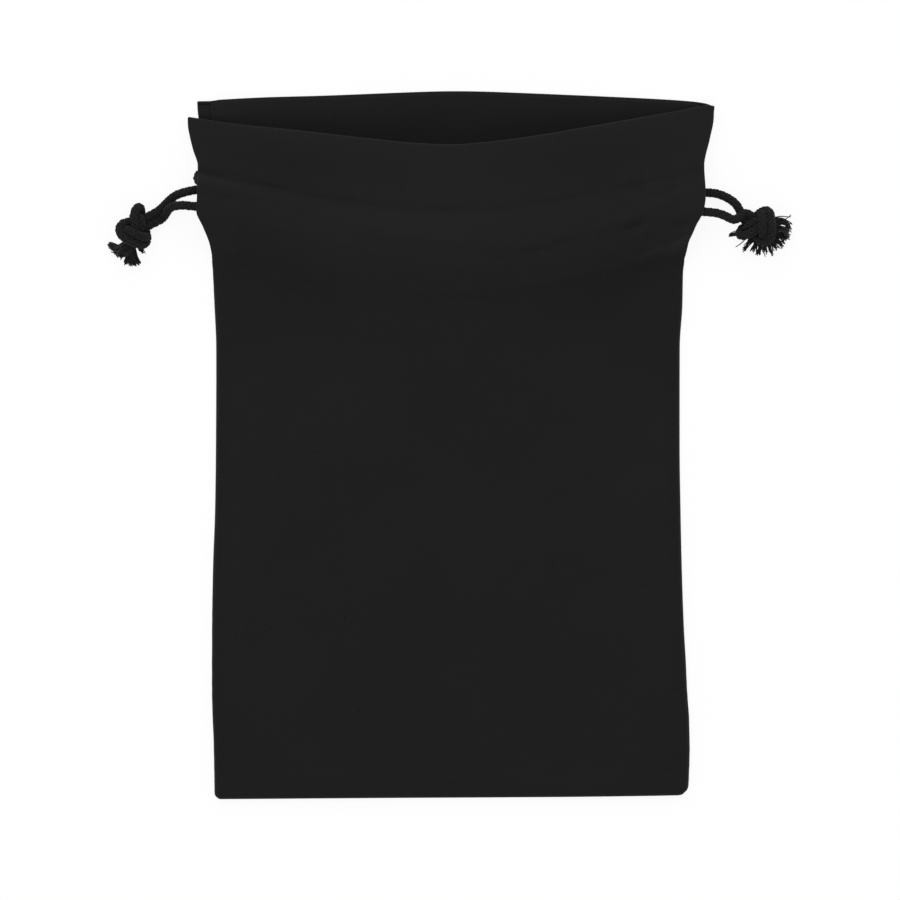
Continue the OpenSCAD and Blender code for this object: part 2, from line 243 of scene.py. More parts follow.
class Finish:
    """A material for one kind of surface, with its nodes."""

    def __init__(self, name, constants):
        self.material = bpy.data.materials.new(name)
        self.material.use_nodes = True
        self.tree = self.material.node_tree
        self.shader = self.tree.nodes["Principled BSDF"]
        for socket, value in constants.items():
            self.shader.inputs[socket].default_value = value

    def node(self, kind, output, settings, sockets):
        """Adds a node: its settings first, then the values or links of its sockets; gives its output."""
        made = self.tree.nodes.new(kind)
        for setting, value in settings.items():
            setattr(made, setting, value)
        for name, value in sockets.items():
            found = [s for s in made.inputs if s.name == name and not s.is_unavailable]
            wire(self.tree, found[0], value)
        given = [s for s in made.outputs if s.name == output and not s.is_unavailable]
        return Reading(self.tree, given[0])

    def place(self, attribute):
        """The vector that the mesh carries under this name."""
        return self.node("ShaderNodeAttribute", "Vector", {"attribute_name": attribute}, {})

    def parts(self, vector):
        """A vector's three numbers."""
        made = self.tree.nodes.new("ShaderNodeSeparateXYZ")
        wire(self.tree, made.inputs[0], vector)
        return [Reading(self.tree, s) for s in made.outputs]

    def noise(self, vector, scale, detail=2, stretch=(1, 1, 1)):
        """Soft noise from 0 to 1, with its grain stretched by dividing its frequency along an axis."""
        place = self.node(
            "ShaderNodeVectorMath", "Vector", {"operation": "MULTIPLY"}, {"Vector": vector}
        )
        place.socket.node.inputs[1].default_value = stretch
        return self.node(
            "ShaderNodeTexNoise", "Fac", {}, {"Vector": place, "Scale": scale, "Detail": detail}
        )

    def mix(self, share, first, second):
        """A colour from first to second."""
        return self.node(
            "ShaderNodeMix", "Result", {"data_type": "RGBA"}, {"Factor": share, "A": first, "B": second}
        )

    def set(self, socket, value):
        wire(self.tree, self.shader.inputs[socket], value)

    def bump(self, height, distance, strength=1.0):
        """Feeds a height to the shader's normal through one Bump node."""
        normal = self.node(
            "ShaderNodeBump", "Normal", {}, {"Height": height, "Distance": distance, "Strength": strength}
        )
        self.set("Normal", normal)


def grey(level, warm=0.0):
    """An almost neutral colour of this brightness."""
    return (level * (1 + warm), level, level * (1 - warm), 1)


THREAD_PITCH = 0.42
NEP_SPACING = 0.17
NEP_SIZE = 0.048
# Where the painted light on the upper cloth begins, and over what length it grows to full
PAINTED_LIGHT_FROM = 36
PAINTED_LIGHT_LENGTH = 30


def woven_cotton():
    """Plain-woven black cotton: warp over weft, slubs, a few dark neps, faint uneven dye, and painted light
    that makes the cloth lighter towards the mouth.
    """
    constants = {"Specular IOR Level": 0.1, "Sheen Weight": 0.035, "Sheen Roughness": 0.5}
    finish = Finish("black_cotton", constants)
    place = finish.place("weave")
    across, up, _ = finish.parts(place)
    drift = finish.noise(place, 0.35, 2)
    warp = (across + 0.5 * drift) * (math.pi / THREAD_PITCH)
    weft = (up + 0.4 * drift) * (math.pi / THREAD_PITCH)
    warp_wave = warp.cosine()
    weft_wave = weft.cosine()
    checker = warp_wave * weft_wave
    warp_slub = finish.noise(place, 1.0, 2, (2.2, 0.09, 1))
    weft_slub = finish.noise(place, 1.0, 2, (0.09, 2.2, 1))
    warp_height = abs(warp_wave) * (0.55 + 0.45 * checker) * (0.6 + 0.8 * warp_slub)
    weft_height = abs(weft_wave) * (0.55 - 0.45 * checker) * (0.6 + 0.8 * weft_slub)
    weave = warp_height.larger(weft_height)
    fuzz = finish.noise(place, 9, 4)
    finish.bump(weave + 0.35 * fuzz, 0.09 * MM, 0.55)
    specks = finish.node(
        "ShaderNodeTexVoronoi", "Distance", {"feature": "F1"}, {"Vector": place, "Scale": NEP_SPACING}
    )
    nep = specks < NEP_SIZE
    dye = finish.noise(place, 0.03, 3, (1, 1, 0))
    threads = 0.5 * warp_slub + 0.5 * weft_slub
    # Painted light: the cloth's colour grows lighter from 36 mm up the pouch towards the header and lip,
    # standing in for the light that falls there
    painted_top_light = ((up - PAINTED_LIGHT_FROM) * (1 / PAINTED_LIGHT_LENGTH)).larger(0.0).smaller(1.0)
    tone = 0.45 * dye + 0.35 * threads + 0.2 * weave + 0.2 * painted_top_light
    cloth = finish.mix(tone, grey(0.0053), grey(0.0102))
    cloth = finish.mix(nep * 0.7, cloth, grey(0.0035))
    finish.set("Base Color", cloth)
    finish.set("Roughness", 0.86 + 0.12 * fuzz)
    return finish.material


def spun_yarn(name, dark, light, sheen, fibre_scale):
    """Loose black yarn: fibres along it with a slight twist, darker between them."""
    finish = Finish(name, {"Specular IOR Level": 0.12, "Sheen Weight": sheen, "Sheen Roughness": 0.45})
    place = finish.place("yarn")
    around, far, own = finish.parts(place)
    twist = finish.node(
        "ShaderNodeCombineXYZ", "Vector", {}, {"X": around * 6 + far * 2.2, "Y": far * 0.35, "Z": own * 37}
    )
    fibres = finish.noise(twist, fibre_scale, 3)
    patches = finish.noise(place, 0.6, 2)
    tone = 0.65 * fibres + 0.35 * patches
    finish.set("Base Color", finish.mix(tone, dark, light))
    finish.set("Roughness", 0.7 + 0.25 * patches)
    finish.bump(fibres, 0.05 * MM, 0.5)
    return finish.material


COTTON = woven_cotton()
CORD = spun_yarn("braided_cotton_cord", grey(0.004), grey(0.0125), 0.04, 1.3)
FRAY = spun_yarn("frayed_cotton_yarn", grey(0.004), grey(0.014), 0.055, 1.6)
THREAD = spun_yarn("sewing_thread", grey(0.006), grey(0.0105), 0.035, 1.8)


# ---------------------------------------------------------------- making meshes

def new_piece(name, node, points, faces, material, body, attribute, places):
    """A smooth mesh in metres that rides on a body, stands for a node, and has what its finish reads."""
    mesh = bpy.data.meshes.new(name)
    points = np.asarray(points, float)
    loops = np.concatenate([np.asarray(f).ravel() for f in faces])
    sizes = np.concatenate([np.full(len(f), np.asarray(f).shape[1]) for f in faces])
    starts = np.concatenate([[0], np.cumsum(sizes)[:-1]])
    mesh.vertices.add(len(points))
    mesh.vertices.foreach_set("co", (points * MM).astype(np.float32).ravel())
    mesh.loops.add(len(loops))
    mesh.loops.foreach_set("vertex_index", loops.astype(np.int32))
    mesh.polygons.add(len(sizes))
    mesh.polygons.foreach_set("loop_start", starts.astype(np.int32))
    mesh.polygons.foreach_set("use_smooth", np.ones(len(sizes), bool))
    mesh.update(calc_edges=True)
    layer = mesh.attributes.new(attribute, "FLOAT_VECTOR", "POINT")
    layer.data.foreach_set("vector", np.asarray(places, np.float32).ravel())
    mesh.validate()
    mesh.materials.append(material)
    piece = bpy.data.objects.new(name, mesh)
    bpy.context.scene.collection.objects.link(piece)
    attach(piece, body)
    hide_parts(node)
    return piece


def grid_quads(rows, cols, start=0):
    at = np.arange(rows * cols).reshape(rows, cols) + start
    return np.stack([at[:-1, :-1], at[:-1, 1:], at[1:, 1:], at[1:, :-1]], axis=-1).reshape(-1, 4)


def surface_normals(grid):
    """The upward normal at each point of a grid whose rows run along the pouch."""
    return unit(np.cross(np.gradient(grid, axis=1), np.gradient(grid, axis=0)))


# How far a cloth's edge bulges, as a share of its thickness, and how much deeper its other face reads the
# weave
EDGE_BULGE = 0.42
UNDER_DEPTH = 5.0


def thick_cloth(name, node, grid, thickness, weave):
    """Cloth of a real thickness round a middle surface, with round edges."""
    rows, cols = grid.shape[:2]
    normal = surface_normals(grid)
    upper = grid + normal * thickness / 2
    lower = grid - normal * thickness / 2
    at = np.arange(rows * cols).reshape(rows, cols)
    rim = np.concatenate([at[0, :-1], at[:-1, -1], at[-1, :0:-1], at[:0:-1, 0]])
    flat = grid.reshape(-1, 3)
    ring = flat[rim]
    ahead = unit(np.roll(ring, -1, axis=0) - np.roll(ring, 1, axis=0))
    outward = unit(np.cross(ahead, normal.reshape(-1, 3)[rim]))
    edge = ring + outward * thickness * EDGE_BULGE
    n = rows * cols
    edge_at = 2 * n + np.arange(len(rim))
    next_rim = np.roll(rim, -1)
    next_edge = np.roll(edge_at, -1)
    faces = [
        grid_quads(rows, cols),
        grid_quads(rows, cols, n)[:, ::-1],
        np.stack([rim, edge_at, next_edge, next_rim], axis=1),
        np.stack([edge_at, rim + n, next_rim + n, next_edge], axis=1),
    ]
    points = np.concatenate([upper.reshape(-1, 3), lower.reshape(-1, 3), edge])
    w = weave.reshape(-1, 3)
    under = w + np.array([0, 0, UNDER_DEPTH])
    places = np.concatenate([w, under, w[rim]])
    return new_piece(name, node, points, faces, COTTON, "pouch", "weave", places)


def tubes(paths, wide, thick, reference, sides):
    """Round or flattened tubes along paths, which all have as many points, closed at both ends."""
    count, steps = paths.shape[:2]
    ahead = unit(np.gradient(paths, axis=1))
    side = unit(np.cross(ahead, reference))
    up = np.cross(side, ahead)
    angle = 2 * math.pi * np.arange(sides) / sides
    ring = (
        paths[:, :, None, :]
        + (wide * side)[:, :, None, :] * np.cos(angle)[None, None, :, None]
        + (thick * up)[:, :, None, :] * np.sin(angle)[None, None, :, None]
    )
    points = ring.reshape(-1, 3)
    at = np.arange(count * steps * sides).reshape(count, steps, sides)
    turned = np.roll(at, -1, axis=2)
    walls = np.stack([at[:, :-1], turned[:, :-1], turned[:, 1:], at[:, 1:]], axis=-1).reshape(-1, 4)
    near = at[:, 0, ::-1]
    far = at[:, -1, :]
    travelled = np.concatenate(
        [np.zeros((count, 1)), np.cumsum(np.linalg.norm(np.diff(paths, axis=1), axis=2), axis=1)], axis=1
    )
    places = np.stack(
        [
            np.broadcast_to(np.sin(angle) * 0.5 + 0.5, at.shape),
            np.broadcast_to(travelled[:, :, None], at.shape),
            np.broadcast_to(np.arange(count)[:, None, None] * 0.37, at.shape),
        ],
        axis=-1,
    ).reshape(-1, 3)
    return points, [walls, near, far], places


def joined(parts):
    """Several sets of tubes as one."""
    points, places, faces, start = [], [], {}, 0
    for part_points, part_faces, part_places in parts:
        points.append(part_points)
        places.append(part_places)
        for group in part_faces:
            faces.setdefault(group.shape[1], []).append(group + start)
        start += len(part_points)
    return np.concatenate(points), [np.concatenate(g) for g in faces.values()], np.concatenate(places)


def yarn_piece(name, node, parts, material, body):
    points, faces, places = joined(parts)
    return new_piece(name, node, points, faces, material, body, "yarn", places)


# ---------------------------------------------------------------- braids, knots and loose yarns

BRAID_PITCH = 6.2
CARRIERS = 4
BRAID_R = 0.78
BRAID_WAVE = 0.16
BRAID_CORE_R = 0.66
TAIL_YARN_R = 0.26
RUN_YARN_R = 0.48
YARN_THICK = 0.25
YARN_SPACING = 0.42
CORD_STEP = 0.2
RUN_STEP = 0.3
STRAND_GAP = 2.3
OVERHAND_SIZE = 5.5
STRAND_ASIDE = 1.25
KNOT_NODES = 110
KNOT_TURNS = 800
TIGHT_LENGTH = 74
TIGHT_END = 24
TIGHT_APART = 1.2
PULL_SHARE = 0.25
SMOOTH_SHARE = 0.12
PUSH_SHARE = 0.25
LONGEST_SHIFT = 0.3
KNOT_SCALE = 0.92
KNOT_OUT = 4.6


def carried(line, start):
    """A sideways direction taken along a line without twisting."""
    ahead = unit(np.gradient(line, axis=0))
    side = np.zeros_like(line)
    current = np.array(start, float)
    for i, t in enumerate(ahead):
        current = unit(current - t * np.dot(current, t))
        side[i] = current
    return side


def braid(line, start_at, yarns, step):
    """A round braid along a line: half its carriers wind each way, over and under in turn, round a core."""
    places = np.arange(0, lengths(line)[-1] + 1e-6, step)
    centre = along(line, places)
    side = carried(centre, [0.1, 0.2, 1.0])
    up = np.cross(unit(np.gradient(centre, axis=0)), side)
    turn = 2 * math.pi / BRAID_PITCH
    s = places + start_at
    paths, outward = [], []
    for way in (1, -1):
        radius = BRAID_R + way * BRAID_WAVE * np.cos(CARRIERS * turn * s)
        for carrier in range(CARRIERS):
            for yarn in range(yarns):
                aside = (yarn - (yarns - 1) / 2) * YARN_SPACING / BRAID_R
                angle = 2 * math.pi * carrier / CARRIERS + way * turn * s + aside
                radial = np.cos(angle)[:, None] * side + np.sin(angle)[:, None] * up
                paths.append(centre + radius[:, None] * radial)
                outward.append(radial)
    wide = RUN_YARN_R if yarns == 1 else TAIL_YARN_R
    shell = tubes(np.array(paths), wide, YARN_THICK, np.array(outward), 6)
    core = tubes(centre[None, ::2], BRAID_CORE_R, BRAID_CORE_R, side[None, ::2], 8)
    return [shell, core], centre


def loose_overhand(size):
    """Two strands side by side in a loose overhand knot about the z axis, as two lines of nodes."""
    t = np.linspace(-2.12, 2.12, 160)
    loop = size * np.stack([t ** 3 - 3 * t, t ** 4 - 4 * t * t + 1.6, 0.22 * (t ** 5 - 10 * t)], axis=1)
    top = np.array([0, 0, abs(loop[-1, 2]) + 8])
    guide = np.concatenate([[-top * 1.1, -top], loop, [top, top * 1.1]])
    guide = along(guide, np.linspace(0, lengths(guide)[-1], 300))
    side = carried(guide, [1, 0, 0])
    strands = []
    for way in (1, -1):
        line = guide + side * way * STRAND_ASIDE
        strands.append(along(line, np.linspace(0, lengths(line)[-1], KNOT_NODES)))
    return np.array(strands)


def tighten(strands):
    """Pulls loose strands tight: they shorten while they push each other apart and stay smooth."""
    count = strands.shape[1]
    p = strands.reshape(-1, 3)
    owner = np.repeat([0, 1], count)
    order = np.tile(np.arange(count), 2)
    apart = np.abs(order[:, None] - order[None, :])
    same = owner[:, None] == owner[None, :]
    joins = np.flatnonzero(order < count - 1)
    inner = np.flatnonzero((order > 0) & (order < count - 1))
    ends = [np.flatnonzero(order == 0), np.flatnonzero(order == count - 1)]
    loose_length = lengths(strands[0])[-1]
    loose_end = strands[0, -1, 2]
    for turn in range(KNOT_TURNS):
        done = ease(turn / (0.7 * KNOT_TURNS))
        step = (loose_length + (TIGHT_LENGTH - loose_length) * done) / (count - 1)
        edge = p[joins + 1] - p[joins]
        size = np.linalg.norm(edge, axis=1, keepdims=True)
        pull = edge * (size - step) / np.maximum(size, 1e-6) * PULL_SHARE
        shift = np.zeros_like(p)
        shift[joins] += pull
        shift[joins + 1] -= pull
        shift[inner] += SMOOTH_SHARE * ((p[inner - 1] + p[inner + 1]) / 2 - p[inner])
        gap = p[:, None, :] - p[None, :, :]
        far = np.linalg.norm(gap, axis=2)
        near = (far < STRAND_GAP) & ~(same & (apart * step < 1.5 * STRAND_GAP))
        push = np.where(near, (STRAND_GAP - far) / np.maximum(far, 1e-3), 0)
        shift += PUSH_SHARE * (gap * push[..., None]).sum(axis=1)
        size = np.linalg.norm(shift, axis=1, keepdims=True)
        p = p + shift * np.minimum(1, LONGEST_SHIFT / np.maximum(size, 1e-9))
        for end, way in zip(ends, (-1, 1)):
            p[end, 2] = way * (loose_end + (TIGHT_END - loose_end) * done)
            aside = unit(p[end[0], :2] - p[end[1], :2]) * TIGHT_APART
            p[end[0], :2] = aside
            p[end[1], :2] = -aside
    return p.reshape(strands.shape)


TIGHT_OVERHAND = tighten(loose_overhand(OVERHAND_SIZE))


def placed_knot(middle, axis, apart, roll, hand, reach):
    """The tight knot's strands round a middle, with the tails coming in along the axis, rolled about it."""
    strands = TIGHT_OVERHAND * KNOT_SCALE * np.array([hand, 1, 1])
    kept = [strand[(strand[:, 2] > -reach) & (strand[:, 2] < KNOT_OUT)] for strand in strands]
    body = np.concatenate([strand[np.abs(strand[:, 2]) < 4.5, :2] for strand in kept])
    level = (body.min(axis=0) + body.max(axis=0)) / 2
    sideways = kept[0][0, :2] - kept[1][0, :2]
    turn = math.atan2(sideways[1], sideways[0]) + math.radians(roll)
    axis = unit(np.array(axis, float))
    first = unit(np.array(apart) - axis * np.dot(apart, axis))
    second = np.cross(axis, first)
    placed = []
    for strand in kept:
        x, y = (strand[:, :2] - level).T
        placed.append(
            np.array(middle)
            + (x * math.cos(turn) + y * math.sin(turn))[:, None] * first
            + (y * math.cos(turn) - x * math.sin(turn))[:, None] * second
            + strand[:, 2:] * axis
        )
    lowest = min(strand[:, 2].min() for strand in placed)
    return [strand + np.array([0, 0, CORD_D / 2 + 0.05 - lowest]) for strand in placed]


def knotted(routes, leave_at, middle, *turned):
    """Both ends of a drawcord: each line from inside the casing, through the shared knot, and out of it."""
    wholes = []
    for route, leave, strand in zip(routes, leave_at, placed_knot(middle, *turned)):
        line = rounded(route, CORD_STEP)
        tail = line[np.abs(line[:, 0]) <= leave]
        wholes.append(rounded(np.concatenate([tail[:-8:10], tail[-2:-1], strand[::2]]), CORD_STEP))
    return wholes


def yarn_fan(rng, root, ahead, tips, count, spread, thickness):
    """Loose yarns from a cord's open end, some to each tip."""
    steps = 10
    t = np.linspace(0, 1, steps)[None, :, None]
    side = unit(np.cross(ahead, [0, 0, 1.0]))
    up = np.cross(side, ahead)
    parts = []
    for tip in tips:
        turn = rng.uniform(0, 2 * math.pi, (count, 1))
        off = 0.95 * np.sqrt(rng.uniform(0, 1, (count, 1)))
        start = root + off * (np.cos(turn) * side + np.sin(turn) * up)
        end = np.array(tip) + rng.normal(0, spread, (count, 3)) * np.array([1, 1, 0.6])
        reach = np.linalg.norm(end - start, axis=1, keepdims=True)
        lean = start + ahead * reach * rng.uniform(0.3, 0.5, (count, 1))
        bend = (lean + end) / 2 + rng.normal(0, 0.3, (count, 3))
        p0, p1, p2, p3 = (v[:, None, :] for v in (start, lean, bend, end))
        paths = (1 - t) ** 3 * p0 + 3 * t * (1 - t) ** 2 * p1 + 3 * t * t * (1 - t) * p2 + t ** 3 * p3
        curl = rng.uniform(0.03, 0.12, (count, 1, 1)) * t
        phase = rng.uniform(0, 2 * math.pi, (count, 1, 1))
        paths = paths + curl * np.sin(9 * t + phase) * side + curl * np.cos(8 * t + phase) * up
        paths[..., 2] = np.maximum(paths[..., 2], 0.3 + 0.4 * rng.uniform(0, 1, (count, 1)))
        taper = np.linspace(1.0, 0.75, steps)[None, :, None] * thickness
        parts.append(tubes(paths, taper, taper, np.array([0.13, 0.21, 1.0]), 5))
    return parts


# Loose yarns spread under the right knot, each bundle to its own distance from the knot's middle
SKIRT_X, SKIRT_Y, SKIRT_R = 77.6, 55.6, 2.6
SKIRT = [
    (
        (SKIRT_X + SKIRT_R * math.cos(turn), SKIRT_Y + SKIRT_R * math.sin(turn), 2.3),
        (math.cos(turn), math.sin(turn), -0.15),
        [(SKIRT_X + reach * math.cos(turn), SKIRT_Y + reach * math.sin(turn), 1.3)],
        17, 0.4, 0.15,
    )
    for turn, reach in zip(
        np.radians([-126, -112, -98, -84, -70, -57, -45, -33, -21, -9]),
        [7.4, 6.7, 7.2, 6.8, 7.1, 6.8, 7.0, 6.7, 6.9, 6.6],
    )
]
# Each side has its two routes, its knot, the places where its tails leave the slit, and its loose yarns.
# A knot is where each tail leaves its route, the knot's middle, its way through, the way from one tail to the
# other, its roll, its hand, and how far out the tails enter it. A bundle of yarns starts at the end of a
# strand, or at a place and a way under the knot. Then come its tips, how many yarns go to each, and how
# scattered and thick they are.
CORD_ENDS = {
    "left": {
        "routes": (LEFT_FRONT_ROUTE, LEFT_BACK_ROUTE),
        "knot": ((68.6, 67.6), (-77.5, 55.0, 5.6), (-0.81, -0.58, 0), (0.58, -0.81, 0.2), 15, -1, 6.3),
        "exits": ((-63.4, 61, 7), (-63.4, 64.6, 2.7)),
        "yarns": [
            (0, None, [(-84.6, 51.0, 1.8), (-83.4, 49.2, 1.6), (-82.0, 48.2, 1.6)], 30, 0.36, 0.16),
            (1, None, [(-84.0, 50.2, 1.5), (-82.6, 48.6, 1.3)], 20, 0.4, 0.16),
            (
                (-79.3, 52.0, 2.6), (0.05, -1, -0.2),
                [(-80.7, 46.2, 1.5), (-79.6, 45.9, 1.8), (-78.5, 45.8, 1.5), (-77.3, 46.2, 1.6)],
                26, 0.26, 0.16,
            ),
            ((-78.2, 52.4, 2.4), (0.4, -0.9, -0.2), [(-76.4, 49.2, 1.4)], 14, 0.3, 0.15),
        ],
    },
    "right": {
        "routes": (RIGHT_FRONT_ROUTE, RIGHT_BACK_ROUTE),
        "knot": ((70.2, 70.6), (76.6, 56.2, 5.6), (0.9, -0.44, 0), (-0.44, -0.9, 0.3), 180, -1, 3.4),
        "exits": ((63.4, 59.6, 7), (63.4, 64, 2.7)),
        "yarns": SKIRT + [
            (0, None, [(84.3, 56.0, 2.2), (84.4, 54.8, 2.0)], 12, 0.3, 0.14),
            (1, None, [(84.2, 54.0, 1.8), (83.9, 52.8, 1.8)], 12, 0.3, 0.14),
            ((81.0, 57.0, 3.2), (1, 0.3, -0.1), [(84.8, 58.2, 2.6), (84.6, 56.6, 2.2)], 2, 0.15, 0.15),
            ((73.9, 54.2, 2.6), (-1, -0.15, -0.1), [(69.6, 53.2, 1.8)], 26, 0.2, 0.15),
            ((74.2, 53.0, 1.8), (-0.7, -0.7, -0.2), [(71.2, 50.0, 1.0)], 1, 0.1, 0.15),
        ],
    },
}
# How long each tail's own piece is before the knot's piece takes over, just inside the knot
TAIL_LENGTH = 33


def make_cord_end(side, facts, seed):
    """One drawcord's two tails, the knot that joins them and the loose yarns past it."""
    body = side + "_cord_end"
    wholes = knotted(facts["routes"], *facts["knot"])
    knot_parts, fray_parts, tails = [], [], []
    rng = np.random.default_rng(seed)
    strand_ends = []
    for key, line, exit_at in zip(("front", "back"), wholes, facts["exits"]):
        far = lengths(line)
        parts, centre = braid(line[far <= TAIL_LENGTH], 0, 2, CORD_STEP)
        tail = yarn_piece(f"{side}_{key}_braided_tail", f"{side}_{key}_tail", parts, CORD, body)
        tails.append((tail, centre, exit_at))
        start = TAIL_LENGTH - CORD_STEP
        parts, centre = braid(line[far >= start], start, 2, CORD_STEP)
        knot_parts.extend(parts)
        ahead = unit(centre[-1] - centre[-5])
        strand_ends.append((centre[-1] - ahead * 0.4, ahead))
    for source, ahead, tips, count, spread, thickness in facts["yarns"]:
        root, way = strand_ends[source] if ahead is None else (np.array(source), np.array(ahead))
        fray_parts.extend(yarn_fan(rng, root, way, tips, count, spread, thickness))
    knot = yarn_piece(f"{side}_overhand_knot", f"{side}_knot", knot_parts, CORD, body)
    frayed = yarn_piece(f"{side}_loose_yarns", f"{side}_frayed_ends", fray_parts, FRAY, body)


make_cord_end("left", CORD_ENDS["left"], 41)
make_cord_end("right", CORD_ENDS["right"], 43)


# ---------------------------------------------------------------- the cloth's shape

BOTTOM = -88.5
LIP = 83.5
HEADER_ROW = 70
CASING_ROW = 49
SLIT_BASE = 46.5
BACK_HEADER_ROW = 72.5
BACK_CASING_ROW = 51
BACK_CORNER = 86
TOP_LOW = 66
PANEL_T = 0.55
HEM_INSET = 3.4
LAYER_T = 0.4
LAYER_LIFT = 0.56
CHANNEL_H = 3.4
BOW_HALF = 46
ARC_HALF = 62
ARC_POWER = 1.9
LIP_BOW_HALF = 64.5
LIP_BOW_POWER = 1.7
SEWN_TOP = 45
SEWN_FADE = 5

# Half widths: (place along, how far out), the same for both cloths up to the slits
SEWN_LEFT = [
    (-88.5, 59.3), (-77, 59.4), (-62, 59.8), (-46, 59.7), (-31, 59.4), (-16, 58.8), (0, 58.5), (26, 58.3),
    (37, 58.7), (44.5, 59),
]
SEWN_RIGHT = [
    (-88.5, 60), (-77, 60.3), (-69, 60.1), (-62, 59.6), (-54, 59.2), (-46, 58.7), (-31, 58.1), (-16, 57.7),
    (0, 57.4), (26, 57.3), (37, 57.9), (44.5, 58),
]
FRONT_LEFT = SEWN_LEFT + [
    (48.4, 59.2), (52.4, 59.8), (56.2, 61.2), (59.9, 62.8), (64, 62.6), (71, 62.5), (75, 63.6), (79, 64.5),
    (82.3, 65), (90, 65.1),
]
FRONT_RIGHT = SEWN_RIGHT + [
    (48.4, 58.4), (52.4, 59.3), (56.2, 60.7), (59.9, 62.7), (64, 63.3), (71, 63), (78, 64.5), (84.8, 65.6),
    (90, 65.6),
]
BACK_LEFT = SEWN_LEFT + [
    (48.4, 59), (52.4, 59.3), (56.2, 60.4), (59.9, 61.6), (66, 62), (71, 61.8), (78, 62), (86, 62.7),
    (90, 62.7),
]
BACK_RIGHT = SEWN_RIGHT + [
    (48.4, 58.1), (52.4, 58.8), (56.2, 60.1), (59.9, 61.8), (64, 62.8), (71, 63.2), (78, 64.6), (84.4, 65.5),
    (90, 65.5),
]
BOTTOM_LINE = [(-60, -89.3), (-20, -89), (30, -88.7), (60, -88.3)]
LIP_LINE = [
    (-64.9, 82.3), (-52.7, 80.7), (-36.3, 79.4), (-20.9, 78), (-8, 76.9), (0, 76.6), (8, 77.1), (19.7, 78.4),
    (34, 80.5), (48.2, 82.6), (56.9, 84), (61.5, 84.9), (63.9, 85.2), (65.6, 85),
]
BACK_LINE = [
    (-62.7, 86), (-58.8, 86.1), (-57.5, 86.4), (-22, 87.7), (0, 88.5), (33, 87.4), (53.3, 86.4), (60.2, 85.9),
    (63.5, 85.4), (65.5, 84.5),
]
EDGE_HEIGHT = [(46.5, 0.8), (49, 1.4), (53.5, 2.9), (58, 4.4), (61.5, 5.1), (70, 5), (75, 3.6), (83.5, 2.2)]
MIDDLE_RISE = [
    (-88.5, 0), (-83.5, 2.8), (-74.5, 6.3), (-58.5, 9), (-30, 9.9), (0, 10), (46.5, 11.5), (83.5, 13),
]
FRONT_SAG = [(-20, 0), (20, 4), (49, 10.2), (60, 10), (70, 8.2), (83.5, 6)]
# The tunnel over the drawcords: the room it keeps below and above them, the power by which it falls away, and
# the dip between them
ROOM_BELOW = 0.8
ROOM_ABOVE = 0.6
TUNNEL_POWER = 1.25
DIP_DEPTH = 0.14
DIP_WIDTH = 1.1
SEAM_ROUND = 1.0
SEAM_LIFT = 1.4
BOTTOM_FADE = 30
LEFT_CORNER_R = 1.3
RIGHT_CORNER_R = 2.4


def cord_lines(x):
    """Where the two drawcords lie along the front casing, at each place across it."""
    return curve(x, LEFT_FRONT_LINE), curve(x, RIGHT_FRONT_LINE)


def bow(x):
    return np.where(np.abs(x) < BOW_HALF, (1 - (x / BOW_HALF) ** 2) ** 2, 0)


def arc(x):
    """The rows hang in one wide arc from side to side."""
    return np.clip(1 - np.abs(x / ARC_HALF) ** ARC_POWER, 0, 1)


def half_width(u, y, left, right):
    """How far out the cloth's side is, on the side of the pouch where each share is."""
    return np.where(u < 0, curve(y, left), curve(y, right))


def bottom_shift(x, y):
    """How far the bottom edge's own line moves the cloth, which fades up the body."""
    return (curve(x, BOTTOM_LINE) - BOTTOM) * (1 - ease((y - BOTTOM) / BOTTOM_FADE))


def body_share(y):
    """1 in the body, where the sides are sewn, and 0 from the slits up."""
    return 1 - ease((y - SEWN_TOP) / SEWN_FADE)


def edge_round(d, b):
    """How far the cloth has risen from a seam at these distances from the side and the bottom, 0 to 1."""
    a = 1 - np.clip(d / SEAM_ROUND, 0, 1)
    c = 1 - np.clip(b / SEAM_ROUND, 0, 1)
    return np.sqrt(np.clip(1 - a * a - c * c, 0, 1))


def corner_cut(x, y, half):
    """Rounds the bottom corners: the square corner of a grid is drawn in to a quarter circle."""
    r = np.where(x < 0, LEFT_CORNER_R, RIGHT_CORNER_R)
    qx = np.clip((np.abs(x) - (half - r)) / r, 0, 1)
    qy = np.clip((BOTTOM + r - y) / r, 0, 1)
    size = np.sqrt(qx * qx + qy * qy)
    share = np.where(size > 0, np.maximum(qx, qy) / np.maximum(size, 1e-9), 1)
    inside = (qx > 0) & (qy > 0)
    x2 = np.where(inside, np.sign(x) * (half - r + r * qx * share), x)
    y2 = np.where(inside, BOTTOM + r - r * qy * share, y)
    return x2, y2


